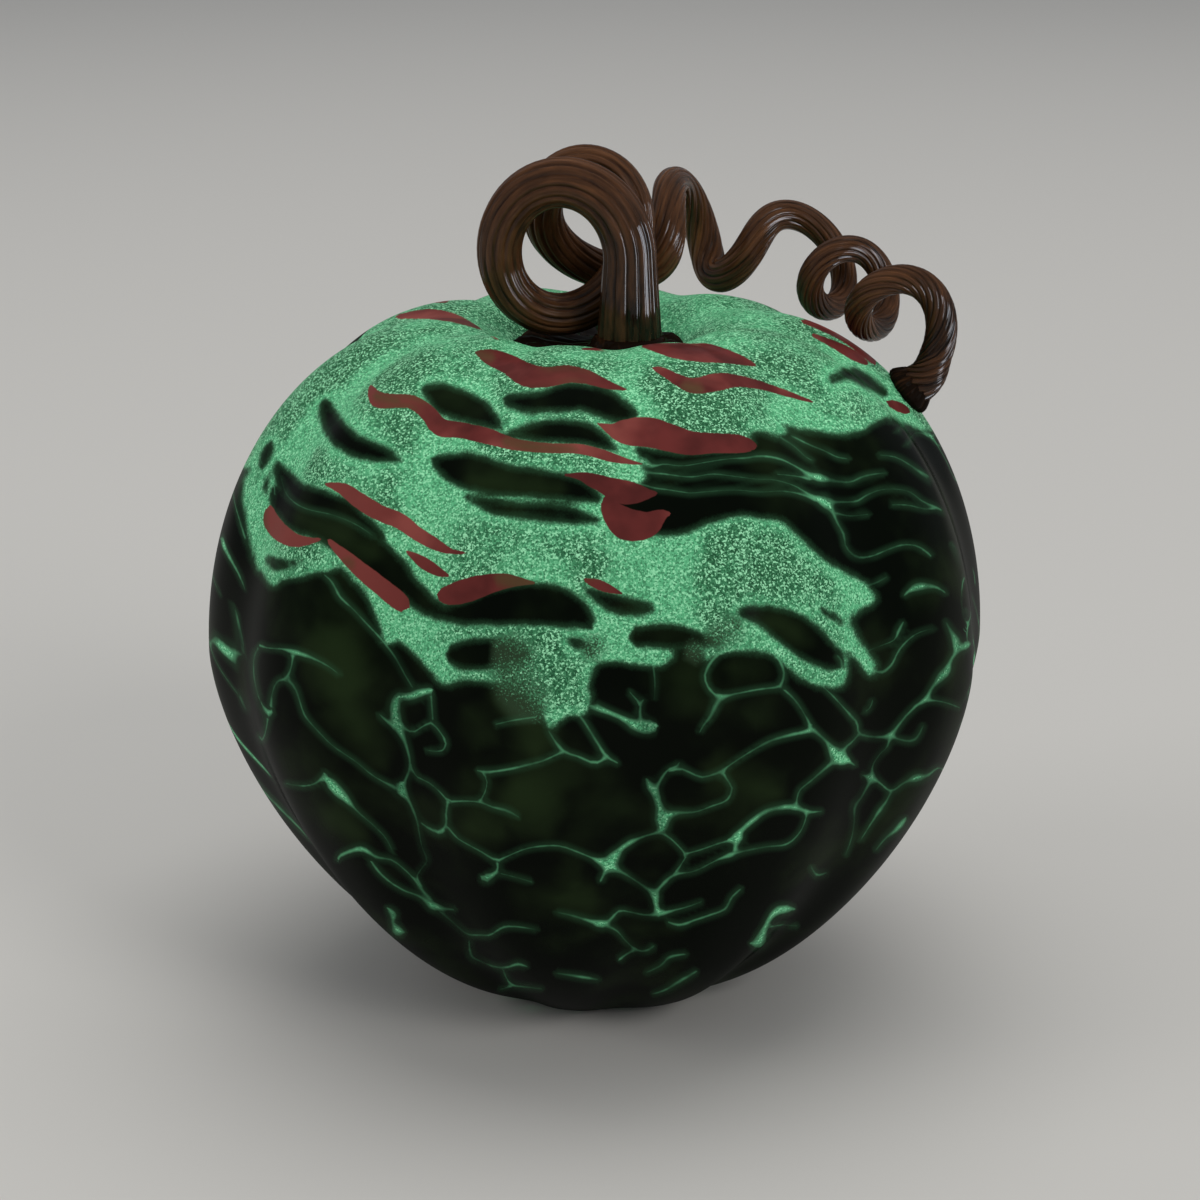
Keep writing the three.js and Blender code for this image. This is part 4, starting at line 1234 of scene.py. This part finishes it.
travelled = np.append(0, np.cumsum(np.linalg.norm(np.diff(cane_line[:, :3], axis=0), axis=1)))
cane_places = read_points(cane.data)
ring_of = np.minimum(np.arange(len(cane_places)) // ring_count, len(cane_line) - 1)
turn_of = math.tau * (np.arange(len(cane_places)) % ring_count) / ring_count
write_flow(cane.data, turn_of, travelled[ring_of])
valleys = notches(turn_of, CANE_FLUTES, FLUTE_POWER)
by_foot = 1 - smooth_share(travelled[ring_of], *FOOT_SHADE_RUN)
by_end = smooth_share(travelled[ring_of] - travelled[-1], *END_SHADE_RUN)
write_values(cane.data, "darkness", VALLEY_SHADE * valleys + FOOT_SHADE * by_foot + END_SHADE * by_end)
off_line = np.linalg.norm(cane_places / MM - cane_line[ring_of, :3], axis=1)
print("Largest distance from the line in mm:", round(float(off_line.max()), 2))

# %% [markdown]
# Brown glass with streaks: a noise that is stretched along the cane, in two scales. The same
# streaks go into the finish of both feet, so they are a group.

# %% Streaks of brown glass
BROWN_DEEP = shade(22, 14, 8)
BROWN_MIDDLE = shade(70, 44, 26)
BROWN_LIGHT = shade(102, 67, 40)
DEEP_STOP = 0.28
MIDDLE_STOP = 0.5
LIGHT_STOP = 0.74
BROAD_SCALE = 1.6
BROAD_WEIGHT = 0.55
FINE_SCALE = 5.5
FINE_WEIGHT = 0.45
CANE_STRETCH = (1, 1, 0.035)
CANE_COAT = 0.6

streaks, start, end = new_group(
    "brown_streaks",
    [("Flow", "NodeSocketVector"), ("Darkness", "NodeSocketFloat")],
    [("Colour", "NodeSocketColor")],
)
broad = waves(streaks, start.outputs["Flow"], BROAD_SCALE, 3.0, 0.6)
fine = waves(streaks, start.outputs["Flow"], FINE_SCALE, 3.0, 0.6)
tone = total(streaks, product(streaks, broad, BROAD_WEIGHT), product(streaks, fine, FINE_WEIGHT))
# Darkness lowers the tone: on the cane painted shade in the valleys and darker foot and end, on the feet
# their dark glass.
tone = calculate(streaks, "SUBTRACT", tone, start.outputs["Darkness"])
ramp = add_node(streaks, "ShaderNodeValToRGB", {0: tone})
stops = ramp.color_ramp.elements
stops[0].position = DEEP_STOP
stops[0].color = BROWN_DEEP
stops[1].position = LIGHT_STOP
stops[1].color = BROWN_LIGHT
stops.new(MIDDLE_STOP).color = BROWN_MIDDLE
streaks.links.new(ramp.outputs[0], end.inputs["Colour"])


def brown_material(name, flow_scale, coat):
    """Polished brown glass with streaks along its flow."""
    material, tree, shader = new_material(name)[:3]
    flow = add_node(tree, "ShaderNodeAttribute", attribute_name="flow").outputs["Vector"]
    stretched = add_node(tree, "ShaderNodeMapping", {"Vector": flow, "Scale": flow_scale}).outputs[0]
    inputs = {"Flow": stretched, "Darkness": attribute(tree, "darkness")}
    streak_node = add_node(tree, "ShaderNodeGroup", inputs, node_tree=streaks)
    tree.links.new(streak_node.outputs["Colour"], shader.inputs["Base Color"])
    set_inputs(shader, {
        "Roughness": 0.4, "Specular IOR Level": 0.0,
        "Coat Weight": coat, "Coat Roughness": 0.05, "Coat IOR": 1.4,
    })
    return material


wear(cane, brown_material("brown_cane", CANE_STRETCH, CANE_COAT))
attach(cane, "root")
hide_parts("curled_stem")
print("Group made:", streaks.name)

# %% [markdown]
# Foot of the stem: a gather of dark glass pressed into the dimple, its edge crimped into petals.
# A disc is extruded up through a few rings, each scaled to the wall of the dimple, then over the
# lip and in to the upright. The petals are pulled in code, because every ring has its own depth.
# A ring on top is how far in from the edge it lies and how far above the lip, how much of the
# petals it takes part in, and how far its middle has moved over to the upright.

# %% Foot of the stem
FOOT_PETALS = 13
POINTS_PER_PETAL = 12
PETAL_DEPTH = 4.6
PETAL_DROP = 2.4
PETAL_POWER = 0.6
FOOT_EDGE = 16.6
FOOT_CLEARANCE = 0.25
FOOT_LIP = 1.5
LIP_SWELL = 0.3
EDGE_PETALS = 0.8
BOTTOM_INSET = 1
WALL_STRIDE = 20
TOP_RINGS = [
    (0.5, 0.3, 1, 0), (1.8, 1.2, 1, 0), (3.4, 1.3, 0.8, 0.1), (5.2, 0.5, 0.5, 0.3),
    (7, 0.3, 0.2, 0.7), (9, 1.2, 0.1, 1), (10, 2.6, 0, 1),
]
GATHER_SHADE = 0.24
GATHER_STRETCH = (2, 2, 0.06)
GATHER_COAT = 0.12


def raise_rings(name, points, rings):
    """A disc that is extruded up through rings, each a radius, a level and a share of the way over."""
    bpy.ops.object.select_all(action="DESELECT")
    bpy.ops.mesh.primitive_circle_add(
        vertices=points, radius=rings[0][0] * MM, fill_type="NGON", location=(0, 0, rings[0][1] * MM))
    piece = bpy.context.object
    piece.name = name
    bpy.ops.object.transform_apply(location=True, rotation=True, scale=True)
    bpy.ops.object.mode_set(mode="EDIT")
    bpy.ops.mesh.select_all(action="SELECT")
    for (old_radius, old_level, old_shift), (radius, level, shift) in zip(rings, rings[1:]):
        over = shift - old_shift
        step = (over * STEM_PLACE[0] * MM, over * STEM_PLACE[1] * MM, (level - old_level) * MM)
        bpy.ops.mesh.extrude_region_move(TRANSFORM_OT_translate={"value": step})
        middle = (shift * STEM_PLACE[0] * MM, shift * STEM_PLACE[1] * MM, level * MM)
        grow = radius / old_radius
        bpy.ops.transform.resize(value=(grow, grow, 1), center_override=middle)
    bpy.ops.mesh.select_all(action="SELECT")
    bpy.ops.mesh.normals_make_consistent(inside=False)
    bpy.ops.object.mode_set(mode="OBJECT")
    bpy.ops.object.shade_smooth()
    return piece


foot_bottom = foot_low.z / MM
wall_rings = [
    (radius - FOOT_CLEARANCE, level, 0, 0)
    for radius, level in dimple_arc[::WALL_STRIDE][::-1] / MM
    if level > foot_bottom and radius < FOOT_EDGE
]
wall_top = wall_rings[-1][1]
foot_rings = [
    (wall_rings[0][0] - BOTTOM_INSET, foot_bottom, 0, 0),
    *wall_rings[:-2],
    (FOOT_EDGE, wall_top, EDGE_PETALS, 0),
    (FOOT_EDGE + LIP_SWELL, wall_top + FOOT_LIP / 2, 1, 0),
]
for inward, upward, petal, shift in TOP_RINGS:
    foot_rings.append((FOOT_EDGE - inward, wall_top + FOOT_LIP + upward, petal, shift))
petal_points = FOOT_PETALS * POINTS_PER_PETAL
foot = raise_rings("crimped_foot", petal_points, [(ring[0], ring[1], ring[3]) for ring in foot_rings])

foot_places = read_points(foot.data)
rings = np.arange(len(foot_places)) // petal_points
petal_share = np.array([ring[2] for ring in foot_rings])[np.minimum(rings, len(foot_rings) - 1)]
turn = np.arctan2(foot_places[:, 1], foot_places[:, 0])
reach = np.hypot(foot_places[:, 0], foot_places[:, 1])
notch = petal_share * notches(turn, FOOT_PETALS, PETAL_POWER)
foot_places[:, :2] *= (1 - PETAL_DEPTH * MM * notch / np.maximum(reach, MM))[:, None]
foot_places[:, 2] -= PETAL_DROP * MM * notch
write_points(foot.data, foot_places)
write_flow(foot.data, turn, reach / MM)
write_values(foot.data, "darkness", np.full(len(foot_places), GATHER_SHADE))
dark_gather = brown_material("dark_gather", GATHER_STRETCH, GATHER_COAT)
wear(foot, dark_gather)
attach(foot, "root")
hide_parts("stem_foot")
print("Rings in the foot:", len(foot_rings))
print("Top of the foot in mm:", round(foot_rings[-1][1], 2), "of", round(foot_high.z / MM, 2))

# %% [markdown]
# The vine ends in a dab of the same dark glass, pressed onto the shoulder with a serrated tool. It
# is made upright at the origin, and its mesh is then moved to the shoulder and turned to lie on it.

# %% Dab at the end of the vine
DAB_TEETH = 11
POINTS_PER_TOOTH = 8
TOOTH_DEPTH = 0.5
TOOTH_POWER = 0.7
DAB_RINGS = [(4.6, -0.4, 0), (5.2, 0.3, 0), (5.2, 1.0, 0), (4.8, 1.8, 0), (4.3, 2.6, 0), (3.9, 3.2, 0)]

dab = raise_rings("crimped_dab", DAB_TEETH * POINTS_PER_TOOTH, DAB_RINGS)
dab_places = read_points(dab.data)
turn = np.arctan2(dab_places[:, 1], dab_places[:, 0])
reach = np.hypot(dab_places[:, 0], dab_places[:, 1])
bite = TOOTH_DEPTH * MM * notches(turn, DAB_TEETH, TOOTH_POWER)
dab_places[:, :2] *= (1 - bite / reach)[:, None]
write_points(dab.data, dab_places)
write_flow(dab.data, turn, dab_places[:, 2] / MM)
write_values(dab.data, "darkness", np.full(len(dab_places), GATHER_SHADE))
dab.data.transform(Matrix.Translation(seat) @ seat_normal.to_track_quat("Z", "Y").to_matrix().to_4x4())
dab.data.update()
wear(dab, dark_gather)
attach(dab, "root")
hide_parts("vine_foot")
print("Rings in the dab:", len(DAB_RINGS))

# %% [markdown]
# The two inner layers keep their solids. The powder layer shines with the same powder, and the
# bubble is clear glass with a few seeds, the tiny bubbles that melted glass keeps.

# %% Finish of the inner layers
LAYER_THICKNESS = 0.1
SEEDS_PER_METRE = 260
SEED_RANGE = (0.04, 0.1, 1.0, 0.0)
SEED_ROUGHNESS = (0.0, 1.0, 0.05, 0.4)
CLEAR_GLASS = shade(220, 236, 228)
SEED_GLASS = shade(250, 255, 252)

layer_finish, tree, shader, place = new_material("glow_powder")
inputs = {"Place": place, "Thickness": LAYER_THICKNESS}
powder_node = add_node(tree, "ShaderNodeGroup", inputs, node_tree=powder)
tree.links.new(powder_node.outputs["Colour"], shader.inputs["Base Color"])
tree.links.new(powder_node.outputs["Colour"], shader.inputs["Emission Color"])
set_inputs(shader, {"Emission Strength": GLOW_STRENGTH, "Roughness": 0.6})
wear(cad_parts["glow_layer"], layer_finish)

bubble_finish, tree, shader, place = new_material("clear_bubble")
seeds = add_node(tree, "ShaderNodeTexVoronoi", {"Vector": place, "Scale": SEEDS_PER_METRE})
seed_share = ease(tree, seeds.outputs["Distance"], *SEED_RANGE)
tree.links.new(mix_colours(tree, seed_share, CLEAR_GLASS, SEED_GLASS), shader.inputs["Base Color"])
tree.links.new(ease(tree, seed_share, *SEED_ROUGHNESS), shader.inputs["Roughness"])
set_inputs(shader, {"Transmission Weight": 0.9, "IOR": 1.5})
wear(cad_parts["inner_bubble"], bubble_finish)
print("Inner layers finished:", layer_finish.name, bubble_finish.name)

# %% [markdown]
# A plain studio: a pale floor that runs on out of sight, a pale sky for soft fill, and four soft
# boxes, each with its place, width, height and power. Only the strip on the right shows as a mirror
# image in the glass. A small box close by lights the cane alone, and draws the long glints on it.

# %% Floor and light
FLOOR_SIZE = 14
FLOOR_COLOUR = shade(206, 203, 197)
SKY_COLOUR = (0.9, 0.94, 1.0, 1)
SKY_STRENGTH = 0.32
SOFT_BOXES = {
    "top_box": ((0.2, 0.3, 2.6), 2.4, 2.4, 34),
    "key_box": ((1.3, -1.5, 1.3), 0.8, 0.8, 13),
    "side_box": ((-1.9, -0.4, 0.9), 0.9, 0.9, 8),
    "right_strip": ((1.2, -1.5, 0.9), 0.3, 0.9, 1.7),
    "glint_box": ((0.37, -0.17, 0.15), 0.12, 0.2, 1.3),
}
MIRRORED_BOXES = ("right_strip", "glint_box")
GLINT_COLOUR = (0.84, 0.9, 1.0)

bpy.ops.object.select_all(action="DESELECT")
bpy.ops.mesh.primitive_plane_add(size=FLOOR_SIZE)
floor = bpy.context.object
floor.name = "floor"
floor_finish, tree, shader = new_material("pale_floor")[:3]
set_inputs(shader, {"Base Color": FLOOR_COLOUR, "Roughness": 0.8})
wear(floor, floor_finish)

world = bpy.data.worlds.new("pale_sky")
bpy.context.scene.world = world
world.use_nodes = True
set_inputs(world.node_tree.nodes["Background"], {"Color": SKY_COLOUR, "Strength": SKY_STRENGTH})
bpy.context.scene.view_settings.view_transform = "Standard"

for name, (spot, width, height, power) in SOFT_BOXES.items():
    aim = (AIM - Vector(spot)).to_track_quat("-Z", "Y").to_euler()
    bpy.ops.object.light_add(type="AREA", location=spot, rotation=aim)
    box = bpy.context.object
    box.name = name
    box.data.shape = "RECTANGLE"
    box.data.size = width
    box.data.size_y = height
    box.data.energy = power
    box.visible_glossy = name in MIRRORED_BOXES

glint_box = bpy.data.objects["glint_box"]
glint_box.data.color = GLINT_COLOUR
glint_box.visible_diffuse = False
glint_box.light_linking.receiver_collection = bpy.data.collections.new("polished_cane")
glint_box.light_linking.receiver_collection.objects.link(cane)
print("Soft boxes:", len(SOFT_BOXES))
